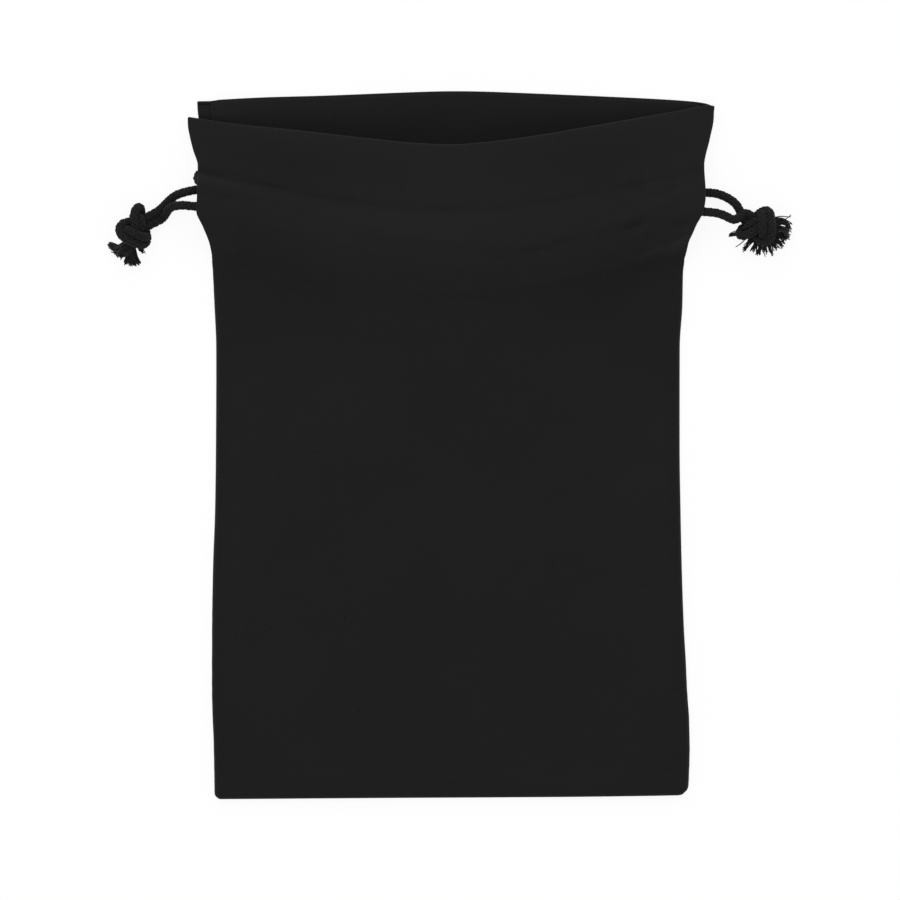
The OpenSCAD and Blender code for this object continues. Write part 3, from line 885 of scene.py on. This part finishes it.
def front_surface(u, y, kind):
    """The front cloth at shares u of its half width and rows y: the outer panel or its turned-in layer."""
    side = half_width(u, y, FRONT_LEFT, FRONT_RIGHT) - PANEL_T / 2
    x, flat_y = corner_cut(u * side, y, side)
    middle = bow(x)
    header = ease((y - HEADER_ROW) / (LIP - HEADER_ROW))
    place = flat_y - curve(y, FRONT_SAG) * arc(x) + bottom_shift(x, y)
    lip_place = curve(x, LIP_LINE) - (LIP - y)
    place = (1 - header) * place + header * lip_place
    upper = ease(y / SLIT_BASE)
    wide_bow = np.clip(1 - (x / LIP_BOW_HALF) ** 2, 0, 1) ** LIP_BOW_POWER
    bulge = (1 - upper) * (1 - u ** 4) + upper * ((1 - header) * middle + header * wide_bow)
    d = (1 - np.abs(u)) * side
    b = y - BOTTOM
    body = body_share(y)
    rounding = edge_round(d, b)
    seam = SEAM_LIFT * rounding * (1 - ease((y - 38) / 11))
    rise = curve(y, MIDDLE_RISE) * bulge
    z = curve(y, EDGE_HEIGHT) + np.cbrt(seam ** 3 + rise ** 3)
    if kind == "layer":
        return np.stack([x, place, z + LAYER_T / 2 + 0.05], axis=-1)
    left, right = cord_lines(x)
    lower, higher = np.minimum(left, right) - ROOM_BELOW, np.maximum(left, right) + ROOM_ABOVE
    to_casing = lower - CASING_ROW + curve(CASING_ROW, FRONT_SAG) * arc(x)
    to_header = HEADER_ROW - curve(HEADER_ROW, FRONT_SAG) * arc(x) - higher
    fall = np.clip((lower - place) / np.maximum(to_casing, 5), 0, 1) ** TUNNEL_POWER
    climb = np.clip((place - higher) / np.maximum(to_header, 3.6), 0, 1) ** TUNNEL_POWER
    dip = DIP_DEPTH * bell(place, (left + right) / 2, DIP_WIDTH) * ease((np.abs(left - right) - 2.6) / 1.5)
    channel = CHANNEL_H * (1 - fall) * (1 - climb) * (1 - dip)
    channel = channel * ease((y - CASING_ROW - 0.5) / 4) * ease((HEADER_ROW - 0.3 - y) / 2.5)
    over = LAYER_LIFT * ease((y - 44.5) / 2.5) + channel
    half_t = PANEL_T / 2 * ((1 - body) + body * rounding)
    return np.stack([x, place, z + over + half_t], axis=-1)


CASING_PUCKER = 5.2
HEADER_PUCKER = 6.4
LONG_FOLD = 17
LONG_FOLD_SLANT = 0.08


def gathers(x, y, rng):
    """Small puckers that the stitch rows draw into the cloth, and long soft folds below the casing."""
    casing_puckers = ripple(rng, 5, CASING_PUCKER, x)
    header_puckers = ripple(rng, 5, HEADER_PUCKER, x)
    long_folds = ripple(rng, 4, LONG_FOLD, x + LONG_FOLD_SLANT * y)
    near_casing = bell(y, CASING_ROW, 2.6)
    below = np.where(y < CASING_ROW, bell(y, CASING_ROW, 9), 0)
    near_header = bell(y, HEADER_ROW, 2.8)
    above = np.where(y > HEADER_ROW, bell(y, HEADER_ROW, 7), 0)
    right_edge = ease((x - 30) / 25)
    casing_gather = casing_puckers * near_casing * (0.07 + 0.1 * right_edge) + long_folds * below * 0.2
    header_gather = header_puckers * near_header * (0.06 + 0.14 * right_edge) + long_folds * above * 0.14
    share = np.clip((y - CASING_ROW) / (HEADER_ROW - CASING_ROW), 0, 1)
    between = ((y > CASING_ROW) & (y < HEADER_ROW)) * np.sin(share * math.pi)
    return casing_gather + header_gather + between * header_puckers * 0.12


CREASE = [(8, 48.8), (12.5, 49.5), (22, 51.4), (32, 54.2), (40, 57)]
CREASE_DEPTH = 0.5
CRUMPLE_HEIGHT = 0.38
CRUMPLE_SLOPE = 0.42


def crumples(x, place, rng):
    """Slanting wrinkles at the right of the casing, where its cord was pulled, and one longer crease."""
    lean = x * CRUMPLE_SLOPE - place
    small = ripple(rng, 6, 5.5, lean) * (0.6 + 0.4 * ripple(rng, 4, 11, x, place))
    zone = window(x, 22, 16, 56, 6) * window(place, 46, 5, 64, 6)
    crease = bell(place, curve(x, CREASE), 0.7) * window(x, 7, 6, 30, 9)
    return CRUMPLE_HEIGHT * small * zone - CREASE_DEPTH * crease


GROOVE_DEPTH = 0.02
RIGHT_GROOVE = 0.14
GROOVE_WIDTH = 0.6


def stitch_groove(y, row, x=0):
    """The dent that a stitch row pulls into the cloth, deepest at the right."""
    return -(GROOVE_DEPTH + RIGHT_GROOVE * ease((x - 25) / 25)) * bell(y, row, GROOVE_WIDTH)


MARK_AT = 8.4
BOTTOM_MARK_AT = 8.6
MARK_WIDTH = 0.7


def seam_marks(u, x, y, half):
    """The seam margins inside, showing faintly through the front, and pulls beside the right seam."""
    d = (1 - np.abs(u)) * half
    left = (u < 0) * window(y, -84, 4, -44, 12)
    right = (u > 0) * 0.35 * window(y, -84, 4, -30, 20)
    ridge = 0.16 * bell(d, MARK_AT, MARK_WIDTH) + 0.10 * (1 - ease((d - 8.2) / 1.2))
    bottom = 0.10 * bell(y - BOTTOM, BOTTOM_MARK_AT, MARK_WIDTH) * ease((half - np.abs(x)) / 10)
    pulls = np.sin(y * 1.15 + 2 * np.sin(y * 0.31)) * bell(d, 3, 3.2)
    pulls = pulls * (0.10 + 0.16 * ((u > 0) * (1 - ease((y + 66) / 16)))) * body_share(y)
    return (left + right) * ridge + bottom + pulls


# ---------------------------------------------------------------- settling the front by cloth simulation

SIM_COLS = 61
SIM_ROWS = 87
SETTLE_STEPS = 30
START_WAVE = 0.12
START_WAVE_LENGTH = 21
SEAM_HELD = 1.5
SETTLE_SHARE = 0.75
SETTLE_LOW = -1.8
SETTLE_HIGH = 2.2
# Light and well damped, and growing by a little, which is what makes it buckle
SETTLING_COTTON = {
    "quality": 7,
    "mass": 0.12,
    "tension_stiffness": 12,
    "compression_stiffness": 12,
    "shear_stiffness": 4,
    "bending_stiffness": 3,
    "tension_damping": 8,
    "compression_damping": 8,
    "shear_damping": 8,
    "bending_damping": 0.5,
    "air_damping": 4,
    "vertex_group_mass": "held",
    "pin_stiffness": 1.0,
    "shrink_min": -0.007,
}


def settle(rest, hold, steps):
    """Lets a grid of cloth buckle a little round its held edges, and gives how far each point moved."""
    rows, cols = rest.shape[:2]
    mesh = bpy.data.meshes.new("settling")
    mesh.from_pydata((rest.reshape(-1, 3) * MM).tolist(), [], grid_quads(rows, cols).tolist())
    cloth = bpy.data.objects.new("settling", mesh)
    bpy.context.scene.collection.objects.link(cloth)
    group = cloth.vertex_groups.new(name="held")
    for i, weight in enumerate(hold.ravel()):
        group.add([i], float(weight), "REPLACE")
    modifier = cloth.modifiers.new("settle", "CLOTH")
    for setting, value in SETTLING_COTTON.items():
        setattr(modifier.settings, setting, value)
    modifier.settings.effector_weights.gravity = 0
    modifier.collision_settings.use_collision = False
    modifier.collision_settings.use_self_collision = False
    modifier.point_cache.frame_start = 1
    modifier.point_cache.frame_end = steps
    scene = bpy.context.scene
    for step in range(1, steps + 1):
        scene.frame_set(step)
    evaluated = cloth.evaluated_get(bpy.context.evaluated_depsgraph_get())
    moved = np.zeros(rows * cols * 3, np.float32)
    evaluated.data.vertices.foreach_get("co", moved)
    bpy.data.objects.remove(cloth)
    scene.frame_set(1)
    shift = moved.reshape(rows, cols, 3) / MM - rest
    return np.nan_to_num(shift)


def front_settling():
    """How far the settled front moves along the pouch's height, on the simulation's own grid."""
    u, y = np.meshgrid(np.linspace(-1, 1, SIM_COLS), np.linspace(BOTTOM, LIP, SIM_ROWS))
    rest = front_surface(u, y, "layer")
    rng = np.random.default_rng(11)
    rest[..., 2] += START_WAVE * ripple(rng, 9, START_WAVE_LENGTH, rest[..., 0], rest[..., 1]) * (1 - u ** 8)
    edge = np.minimum((1 - np.abs(u)) * 60, y - BOTTOM)
    hold = np.where(edge < SEAM_HELD, 1.0, 0.05 + 0.5 * np.exp(-edge / 5))
    rows = np.maximum(bell(y, CASING_ROW, 2), bell(y, HEADER_ROW, 2))
    hold = np.maximum(hold, np.where(y > CASING_ROW, 0.6, 0))
    hold = np.maximum(hold, 0.95 * rows)
    shift = settle(rest, np.clip(hold, 0, 1), SETTLE_STEPS)[..., 2]
    return SETTLE_SHARE * np.clip(shift, SETTLE_LOW, SETTLE_HIGH)


SETTLED = front_settling()


def settled_at(u, y):
    """The settled height at any share of the half width and any row, smoothly between grid points."""
    gx = np.clip((u + 1) / 2 * (SIM_COLS - 1), 0, SIM_COLS - 1)
    gy = np.clip((y - BOTTOM) / (LIP - BOTTOM) * (SIM_ROWS - 1), 0, SIM_ROWS - 1)
    ix = np.clip(np.floor(gx).astype(int), 0, SIM_COLS - 2)
    iy = np.clip(np.floor(gy).astype(int), 0, SIM_ROWS - 2)
    total = 0
    weight = 0
    for oy in (-1, 0, 1, 2):
        for ox in (-1, 0, 1, 2):
            cx = np.clip(ix + ox, 0, SIM_COLS - 1)
            cy = np.clip(iy + oy, 0, SIM_ROWS - 1)
            reach = np.exp(-((gx - ix - ox) ** 2 + (gy - iy - oy) ** 2) / 0.9)
            total = total + SETTLED[cy, cx] * reach
            weight = weight + reach
    return total / weight


# ---------------------------------------------------------------- cloth pieces

# Every layer of cloth reads its weave at its own depth, so that no two look alike.
FRONT_HEM_DEPTH = 11
BACK_DEPTH = 23
BACK_HEM_DEPTH = 31
SLIT_DEPTH = 41
MARGIN_DEPTH = 47
WEAVE_HALF = 62
LIP_R = 0.3


def weave_places(across, up, depth):
    """What a grid's finish reads: its place on the cloth, and its layer's depth."""
    return np.stack([across, up, np.full(across.shape, float(depth))], axis=-1)


def front_grid(rows, shares, kind):
    u, y = np.meshgrid(shares, rows)
    grid = front_surface(u, y, kind)
    x = grid[..., 0]
    normal = surface_normals(grid)
    rng = np.random.default_rng(5)
    half = half_width(u, y, FRONT_LEFT, FRONT_RIGHT)
    inside = edge_round(1.5 * (1 - np.abs(u)) * half, 1.5 * (y - BOTTOM))
    free = 1 - body_share(y)
    detail = gathers(x, y, rng) * np.maximum(inside, free)
    detail = detail + stitch_groove(y, HEADER_ROW, x) + stitch_groove(y, CASING_ROW, x)
    if kind == "panel":
        detail = detail + seam_marks(u, x, y, half) * inside * (y < SLIT_BASE)
        detail = detail + crumples(x, grid[..., 1], np.random.default_rng(8))
    grid = grid + normal * detail[..., None]
    grid[..., 2] += settled_at(u, y) * np.maximum(inside, free)
    return grid, weave_places(u * WEAVE_HALF, y, 0)


def folded_lip(grid, weave, radius, turn):
    """Adds the rows that turn over at a lip: down into the pouch for the front, up for the back."""
    normal = surface_normals(grid)[-1] * turn
    ahead = unit(grid[-1] - grid[-3])
    angles = np.radians([30, 60, 90, 120, 150])
    rows = [grid[-1] + radius * (math.sin(a) * ahead - (1 - math.cos(a)) * normal) for a in angles]
    lays = [weave[-1] + np.array([0, radius * a, 0]) for a in angles]
    return np.concatenate([grid, rows]), np.concatenate([weave, lays])


def side_shares(edge_steps, coarse):
    """Shares of the half width, close together beside the seams."""
    half = 60
    near = np.array(edge_steps) / half
    middle = np.linspace(-(1 - near[-1]), 1 - near[-1], int(round(2 * (half - edge_steps[-1]) / coarse)) + 1)
    return np.concatenate([-(1 - near[:-1]), middle, (1 - near[:-1])[::-1]])


SEAM_STEPS = [0, 0.03, 0.12, 0.3, 0.55, 0.85, 1.2, 1.7, 2.3, 3]


def panel_rows(stops, fine, coarse, reach):
    """A panel's rows: close together beside the bottom seam, then graded through the stops."""
    near = BOTTOM + np.array(SEAM_STEPS)
    return np.concatenate([near[:-1], graded([near[-1], *stops], fine, coarse, reach)])


PANEL_SHARES = side_shares(SEAM_STEPS, 0.85)
PANEL_ROWS = panel_rows([CASING_ROW, HEADER_ROW, LIP], 0.32, 0.9, 6)


def make_front_cloth():
    grid, weave = front_grid(PANEL_ROWS, PANEL_SHARES, "panel")
    folded, lay = folded_lip(grid, weave, LIP_R, 1)
    return thick_cloth("front_cloth", "front_panel", folded, PANEL_T, lay), grid


def make_front_hem():
    rows = graded([CASING_ROW - 1.4, CASING_ROW, HEADER_ROW, LIP], 0.35, 1.0, 5)
    end = 1 - HEM_INSET / 64
    inner = PANEL_SHARES[np.abs(PANEL_SHARES) < end - 0.012]
    shares = np.concatenate([[-end, -end + 0.006], inner, [end - 0.006, end]])
    grid, weave = front_grid(rows, shares, "layer")
    rng = np.random.default_rng(21)
    grid[0, :, 1] += 0.25 * ripple(rng, 4, 6, grid[0, :, 0])
    weave = weave + np.array([0, 0, FRONT_HEM_DEPTH])
    return thick_cloth("front_turned_hem", "front_hem", grid, LAYER_T, weave), grid, rows


BACK_Z = 0.4
BACK_EDGE_LIFT = 0.3
BACK_WAVE = 30
BACK_WAVE_HEIGHT = 0.30
BACK_HEM_Z = 0.62
BACK_HEM_GAP = 0.12
BACK_PUCKER = 0.12


def back_surface(u, y):
    """The back cloth, which lies on the ground, and the layer turned in over it."""
    half = half_width(u, y, BACK_LEFT, BACK_RIGHT) - PANEL_T / 2
    x, flat_y = corner_cut(u * half, y, half)
    top = curve(x, BACK_LINE) - BACK_CORNER
    place = flat_y + bottom_shift(x, y) + top * ease((y - TOP_LOW) / (BACK_CORNER - TOP_LOW))
    d = np.minimum((1 - np.abs(u)) * half, y - BOTTOM)
    z = BACK_Z + BACK_EDGE_LIFT * body_share(y) * (1 - np.clip(d / 0.9, 0, 1)) ** 2
    rng = np.random.default_rng(31)
    wave = ripple(rng, 6, BACK_WAVE, x, y) + 1.2
    z = z + BACK_WAVE_HEIGHT * wave * ease((y - 74) / 10)
    return np.stack([x, place, z], axis=-1)


BACK_ROWS = panel_rows([BACK_CASING_ROW, BACK_HEADER_ROW, BACK_CORNER], 0.35, 1.3, 5)


def back_lines(x):
    """Where the two drawcords lie along the back casing."""
    left = np.clip((TAIL_START + x) / (TAIL_START + TURN_X), 0, 1)
    right = np.clip((TAIL_START - x) / (TAIL_START + TURN_X), 0, 1)
    return (
        LEFT_BACK_Y[0] + (LEFT_BACK_Y[1] - LEFT_BACK_Y[0]) * left,
        RIGHT_BACK_Y[0] + (RIGHT_BACK_Y[1] - RIGHT_BACK_Y[0]) * right,
    )


def make_back_cloth():
    u, y = np.meshgrid(side_shares(SEAM_STEPS, 1.1), BACK_ROWS)
    grid = back_surface(u, y)
    groove = stitch_groove(y, BACK_HEADER_ROW) + stitch_groove(y, BACK_CASING_ROW)
    grid[..., 2] += 0.25 * groove
    folded, lay = folded_lip(grid, weave_places(u * WEAVE_HALF, y, BACK_DEPTH), LIP_R, -1)
    return thick_cloth("back_cloth", "back_panel", folded, PANEL_T, lay), grid


def make_back_hem():
    seen_rows = [BACK_CASING_ROW, BACK_HEADER_ROW]
    stops = [BACK_CASING_ROW - 1.2, *seen_rows, BACK_CORNER - 0.1]
    rows = graded(stops, 0.35, 1.0, 5, [*seen_rows, BACK_CORNER])
    end = 1 - HEM_INSET / 63
    shares = np.linspace(-end, end, 111)
    u, y = np.meshgrid(shares, rows)
    grid = back_surface(u, y)
    x = grid[..., 0]
    left, right = back_lines(x)
    near = np.minimum(np.abs(y - left), np.abs(y - right))
    channel = CHANNEL_H * np.exp(-(near / 2.9) ** 4)
    valley = (y > np.minimum(left, right)) & (y < np.maximum(left, right))
    channel = np.where(valley, np.maximum(channel, 0.7 * CHANNEL_H), channel)
    channel = channel * ease((y - BACK_CASING_ROW - 0.5) / 3) * ease((BACK_HEADER_ROW - 0.3 - y) / 2)
    rng = np.random.default_rng(33)
    puckers = ripple(rng, 5, 6, x) * BACK_PUCKER
    rowed = bell(y, BACK_HEADER_ROW, 2.5) + bell(y, BACK_CASING_ROW, 2.5)
    grid[..., 2] += BACK_HEM_Z + channel + puckers * rowed * (y > BACK_CASING_ROW) + BACK_HEM_GAP
    grid[..., 2] += 0.6 * (stitch_groove(y, BACK_HEADER_ROW) + stitch_groove(y, BACK_CASING_ROW))
    grid[0, :, 1] += 0.25 * ripple(rng, 4, 6, x[0])
    weave = weave_places(u * WEAVE_HALF, y, BACK_HEM_DEPTH)
    return thick_cloth("back_turned_hem", "back_hem", grid, LAYER_T, weave), grid, rows


front_cloth, front_panel_grid = make_front_cloth()
front_hem, front_hem_grid, front_hem_rows = make_front_hem()
back_cloth, back_panel_grid = make_back_cloth()
back_hem, back_hem_grid, back_hem_rows = make_back_hem()


# A slit's fold lies this far below its panel, between these two distances from the edge.
FOLD_GAP = 0.03
FOLD_FROM = 0.25
FOLD_TO = 2.5


def make_slit_hem(name, node, grid, rows, low, high, side, turn):
    """The narrow fold along one edge of a slit, inside the cloth."""
    picked = (rows >= low) & (rows <= high)
    normal = surface_normals(grid)
    place = grid - normal * turn * (PANEL_T / 2 + LAYER_T / 2 + FOLD_GAP)
    cols = np.arange(len(SEAM_STEPS))
    inner = cols[(np.array(SEAM_STEPS) > FOLD_FROM) & (np.array(SEAM_STEPS) < FOLD_TO)]
    if side > 0:
        inner = grid.shape[1] - 1 - inner[::-1]
    strip = place[picked][:, inner]
    weave = weave_places(strip[..., 0], strip[..., 1], SLIT_DEPTH)
    return thick_cloth(name, node, strip, LAYER_T, weave)


MARGIN_FROM = -79.4
MARGIN_TO = 36.5
MARGIN_HALF = 57.5
SEAM_FROM = -87
SEAM_TO = 46
SEAM_HALF = 57
MARGIN_WIDTH = 8.8
MARGIN_ROOT = 2.2
MARGIN_LOW = 1.0
MARGIN_HIGH = 1.5
MARGIN_STEP = 1.2
SEAM_STEP = 1.0
SEAM_HEIGHT = 0.8
SEAM_INSET = 0.4


def margin_strip(edge_line, inward, name, node):
    """A seam's two margins inside the pouch: from one raw edge to the seam and back over to the other."""
    rng = np.random.default_rng(len(name))
    lower = np.linspace(MARGIN_WIDTH, MARGIN_ROOT, 9)
    upper = np.linspace(MARGIN_ROOT, MARGIN_WIDTH - 0.5, 8)
    across = np.concatenate([lower, [MARGIN_ROOT - 0.25], upper])
    turn_height = (MARGIN_LOW + MARGIN_HIGH) / 2
    height = np.concatenate([np.full(9, MARGIN_LOW), [turn_height], np.full(8, MARGIN_HIGH)])
    count = len(edge_line)
    fray = 0.22 * ripple(rng, 5, 5, np.arange(count) * 1.0)
    place = np.zeros((count, len(across), 3))
    for i, (a, z) in enumerate(zip(across, height)):
        loose = (a - 2) / 7
        raw_edge = i in (0, len(across) - 1)
        place[:, i] = edge_line + inward * ((a + fray * loose)[:, None] if raw_edge else a)
        place[:, i, 2] = z
    weave = weave_places(place[..., 0], place[..., 1] + place[..., 2] * 9, MARGIN_DEPTH)
    return thick_cloth(name, node, place, LAYER_T, weave)


def seam_line(side, low, high, step):
    y = np.arange(low, high, step)
    half = curve(y, FRONT_RIGHT if side > 0 else FRONT_LEFT)
    return np.stack([side * half, y, np.full_like(y, SEAM_HEIGHT)], axis=1)


def bottom_line(half, step, inset, height):
    x = np.arange(-half, half + 0.1, step)
    return np.stack([x, curve(x, BOTTOM_LINE) + inset, np.full_like(x, height)], axis=1)


def make_margins():
    pieces = []
    for side, name in ((-1, "left"), (1, "right")):
        line = seam_line(side, MARGIN_FROM, MARGIN_TO, MARGIN_STEP)
        inward = np.zeros_like(line) + np.array([-side, 0, 0.0])
        pieces.append(margin_strip(line, inward, f"{name}_seam_margin", f"{name}_seam_allowance"))
    line = bottom_line(MARGIN_HALF, MARGIN_STEP, 0, SEAM_HEIGHT)
    inward = np.zeros_like(line) + np.array([0, 1.0, 0])
    pieces.append(margin_strip(line, inward, "bottom_seam_margin", "bottom_seam_allowance"))
    return pieces


# ---------------------------------------------------------------- stitching

STITCH_LENGTH = 2.5
STITCH_GAP = 0.3
STITCH_R = 0.15
STITCH_RISE = 0.2
STITCH_SINK = 0.2
STITCH_SHIFT = 0.06
STITCH_TURN = 0.05
FRONT_PROUD = 0.0
INNER_PROUD = 0.08
BACK_PROUD = -0.02
STITCH_LIFT = [-0.34, -0.06, 0.7, 0.95, 1.0, 0.75, 0.0, -0.34]


def stitches(rng, line, outward, proud):
    """Single stitches along a line on the cloth, each dipping into it at both ends."""
    far = lengths(line)
    t = np.linspace(0, 1, len(STITCH_LIFT))
    paths, normals = [], []
    for start in np.arange(0.3, far[-1] - STITCH_LENGTH, STITCH_LENGTH + STITCH_GAP):
        places = start + rng.uniform(-STITCH_SHIFT, STITCH_SHIFT) + t * STITCH_LENGTH
        centre = along(line, places)
        normal = unit(np.stack([np.interp(places, far, outward[:, k]) for k in range(3)], axis=1))
        aside = unit(np.cross(np.gradient(centre, axis=0), normal)) * rng.uniform(-STITCH_TURN, STITCH_TURN)
        lift = np.array(STITCH_LIFT) * STITCH_RISE + proud - STITCH_SINK
        paths.append(centre + normal * lift[:, None] + aside * (2 * t - 1)[:, None])
        normals.append(normal)
    return tubes(np.array(paths), STITCH_R, STITCH_R * 0.85, np.array(normals), 6)


def row_on(grid, rows, row, inner, off):
    """A stitch row's line on one face of a cloth, with the way out of that face."""
    at = int(np.argmin(np.abs(rows - row)))
    normal = surface_normals(grid)[at, inner:-inner]
    out = normal * np.sign(off)
    return grid[at, inner:-inner] + normal * off, out


def make_row(name, node, faces):
    """One row of stitching: what shows of its thread on each face that it comes out of."""
    rng = np.random.default_rng(len(name))
    parts = [stitches(rng, line, out, proud) for line, out, proud in faces]
    return yarn_piece(name, node, parts, THREAD, "pouch")


def make_seam(name, node, line):
    """The thread of a seam, deep between the two cloths."""
    out = np.zeros_like(line) + np.array([0, 0, 1.0])
    return make_row(name, node, [(line, out, 0.1)])


def make_stitching():
    """The four rows that hold the turned-in layers, then the three seams."""
    outer, inner = PANEL_T / 2, -LAYER_T / 2
    top = (front_panel_grid, PANEL_ROWS)
    turned = (front_hem_grid, front_hem_rows)
    under = (back_panel_grid, BACK_ROWS)
    over = (back_hem_grid, back_hem_rows)
    rows = []
    for name, row in (("header", HEADER_ROW), ("casing", CASING_ROW)):
        shown = (*row_on(*top, row, 4, outer), FRONT_PROUD)
        inside = (*row_on(*turned, row, 2, inner), INNER_PROUD)
        rows.append(make_row(f"front_{name}_row", f"front_{name}_stitch", [shown, inside]))
    for name, row in (("header", BACK_HEADER_ROW), ("casing", BACK_CASING_ROW)):
        inside = (*row_on(*over, row, 2, -inner), INNER_PROUD)
        beneath = (*row_on(*under, row, 4, -outer), BACK_PROUD)
        rows.append(make_row(f"back_{name}_row", f"back_{name}_stitch", [inside, beneath]))
    seams = []
    for side, name in ((-1, "left"), (1, "right")):
        line = seam_line(side, SEAM_FROM, SEAM_TO, SEAM_STEP) - np.array([side * SEAM_INSET, 0, 0.05])
        seams.append(make_seam(f"{name}_seam_row", f"{name}_seam_thread", line))
    line = bottom_line(SEAM_HALF, SEAM_STEP, SEAM_INSET, SEAM_HEIGHT - 0.05)
    seams.append(make_seam("bottom_seam_row", "bottom_seam_thread", line))
    return rows, seams


# For the cloth on each side: its grid and rows, where the slit's fold starts and ends, and which way is in
SLIT_CLOTHS = {
    "front": (front_panel_grid, PANEL_ROWS, 51.2, 69.4, 1),
    "back": (back_panel_grid, BACK_ROWS, 53.6, 70.9, -1),
}
for slit_side, slit_name in ((-1, "left"), (1, "right")):
    for cloth_name, (grid, rows, low, high, turn) in SLIT_CLOTHS.items():
        name = f"{slit_name}_{cloth_name}"
        make_slit_hem(
            f"{name}_slit_fold", f"{name}_slit_hem", grid, rows, low, high, slit_side, turn
        )
seam_margins = make_margins()
stitch_rows, seam_rows = make_stitching()


# ---------------------------------------------------------------- drawcords inside the casings

def casing_height(x, y):
    """How high a drawcord lies in the front casing at a place."""
    rows = np.linspace(SEWN_TOP, 76, 220)
    height = np.zeros_like(x)
    for i, (one_x, one_y) in enumerate(zip(x, y)):
        row = np.interp(one_y, rows - curve(rows, FRONT_SAG) * arc(one_x), rows)
        height[i] = curve(row, EDGE_HEIGHT) + curve(row, MIDDLE_RISE) * bow(one_x)
    return height + FRONT_CORD_LIFT


def run_route(side, front_line, back_y, bight):
    """A drawcord inside the casings: along the front, round the far slit, and back along the back."""
    x = np.linspace(TAIL_START - RUN_GAP, -TURN_X, 90) * side
    y = curve(x, front_line)
    front = np.stack([x, y, casing_height(x, y)], axis=1)
    a = front[-1]
    b = np.array([-side * TURN_X, back_y[1], BACK_CORD_Z])
    r = np.linalg.norm(b - a) / 2
    angle = np.radians(np.linspace(-TURN_REACH, TURN_REACH, 13))[:, None]
    outward = bight * np.cos(angle) * np.array([-side, 0, 0])
    round_slit = (a + b) / 2 + outward + r * np.sin(angle) * unit(b - a)
    back_x = np.linspace(-TURN_X, TAIL_START - RUN_GAP, 30)
    share = (TAIL_START - back_x) / (TAIL_START + TURN_X)
    back_line = back_y[0] + (back_y[1] - back_y[0]) * share
    back = np.stack([side * back_x, back_line, np.full_like(back_x, BACK_CORD_Z)], axis=1)
    return np.concatenate([front, round_slit, back])


def make_run(side, name, node, front_line, back_y, bight):
    line = rounded(run_route(side, front_line, back_y, bight), RUN_STEP)
    parts, _ = braid(line, 0, 1, RUN_STEP)
    yarn_piece(name, node, parts, CORD, "pouch")


make_run(-1, "left_cord_in_casing", "left_cord_run", LEFT_FRONT_LINE, LEFT_BACK_Y, 0.8)
make_run(1, "right_cord_in_casing", "right_cord_run", RIGHT_FRONT_LINE, RIGHT_BACK_Y, 3.3)


# ---------------------------------------------------------------- floor and light

FLOOR_SIZE = 6
FLOOR_GLOW = 0.9
ROOM_LIGHT = 0.75


def seen_directly(tree):
    """1 where a surface is seen, also in a gloss or through glass, and 0 for the light that it gives."""
    path = tree.nodes.new("ShaderNodeLightPath")
    seen = Reading(tree, path.outputs["Is Camera Ray"])
    seen = seen.larger(Reading(tree, path.outputs["Is Glossy Ray"]))
    return seen.larger(Reading(tree, path.outputs["Is Transmission Ray"]))


def make_stage():
    """A pale floor that glows enough to look nearly white."""
    mesh = bpy.data.meshes.new("floor")
    corners = [(x * FLOOR_SIZE, y * FLOOR_SIZE, 0) for x, y in ((-1, -1), (1, -1), (1, 1), (-1, 1))]
    mesh.from_pydata(corners, [], [(0, 1, 2, 3)])
    floor = bpy.data.objects.new("floor", mesh)
    bpy.context.scene.collection.objects.link(floor)
    finish = Finish("pale_floor", {"Roughness": 0.9, "Specular IOR Level": 0.1})
    finish.shader.inputs["Base Color"].default_value = (0.86, 0.86, 0.86, 1)
    seen = seen_directly(finish.tree)
    glow = finish.tree.nodes.new("ShaderNodeEmission")
    glow.inputs["Color"].default_value = (1, 1, 1, 1)
    blend = finish.tree.nodes.new("ShaderNodeMixShader")
    wire(finish.tree, blend.inputs[0], seen * FLOOR_GLOW)
    finish.tree.links.new(finish.shader.outputs[0], blend.inputs[1])
    finish.tree.links.new(glow.outputs[0], blend.inputs[2])
    finish.tree.links.new(blend.outputs[0], finish.tree.nodes["Material Output"].inputs["Surface"])
    mesh.materials.append(finish.material)


def make_world():
    world = bpy.data.worlds.new("soft_room")
    world.use_nodes = True
    tree = world.node_tree
    room = tree.nodes["Background"]
    room.inputs["Color"].default_value = (1, 1, 1, 1)
    wire(tree, room.inputs["Strength"], ROOM_LIGHT + (1 - ROOM_LIGHT) * seen_directly(tree))
    bpy.context.scene.world = world


def make_lamp(name, place, size, power):
    data = bpy.data.lights.new(name, "AREA")
    data.size = size
    data.energy = power
    lamp = bpy.data.objects.new(name, data)
    lamp.location = place
    lamp.rotation_euler = (-Vector(place)).to_track_quat("-Z", "Y").to_euler()
    bpy.context.scene.collection.objects.link(lamp)


make_stage()
make_world()
make_lamp("window", (-0.06, 0.78, 0.82), 0.9, 6.6)
make_lamp("fill", (-0.1, -0.35, 1.1), 1.2, 2.2)
bpy.context.scene.view_settings.view_transform = "Standard"
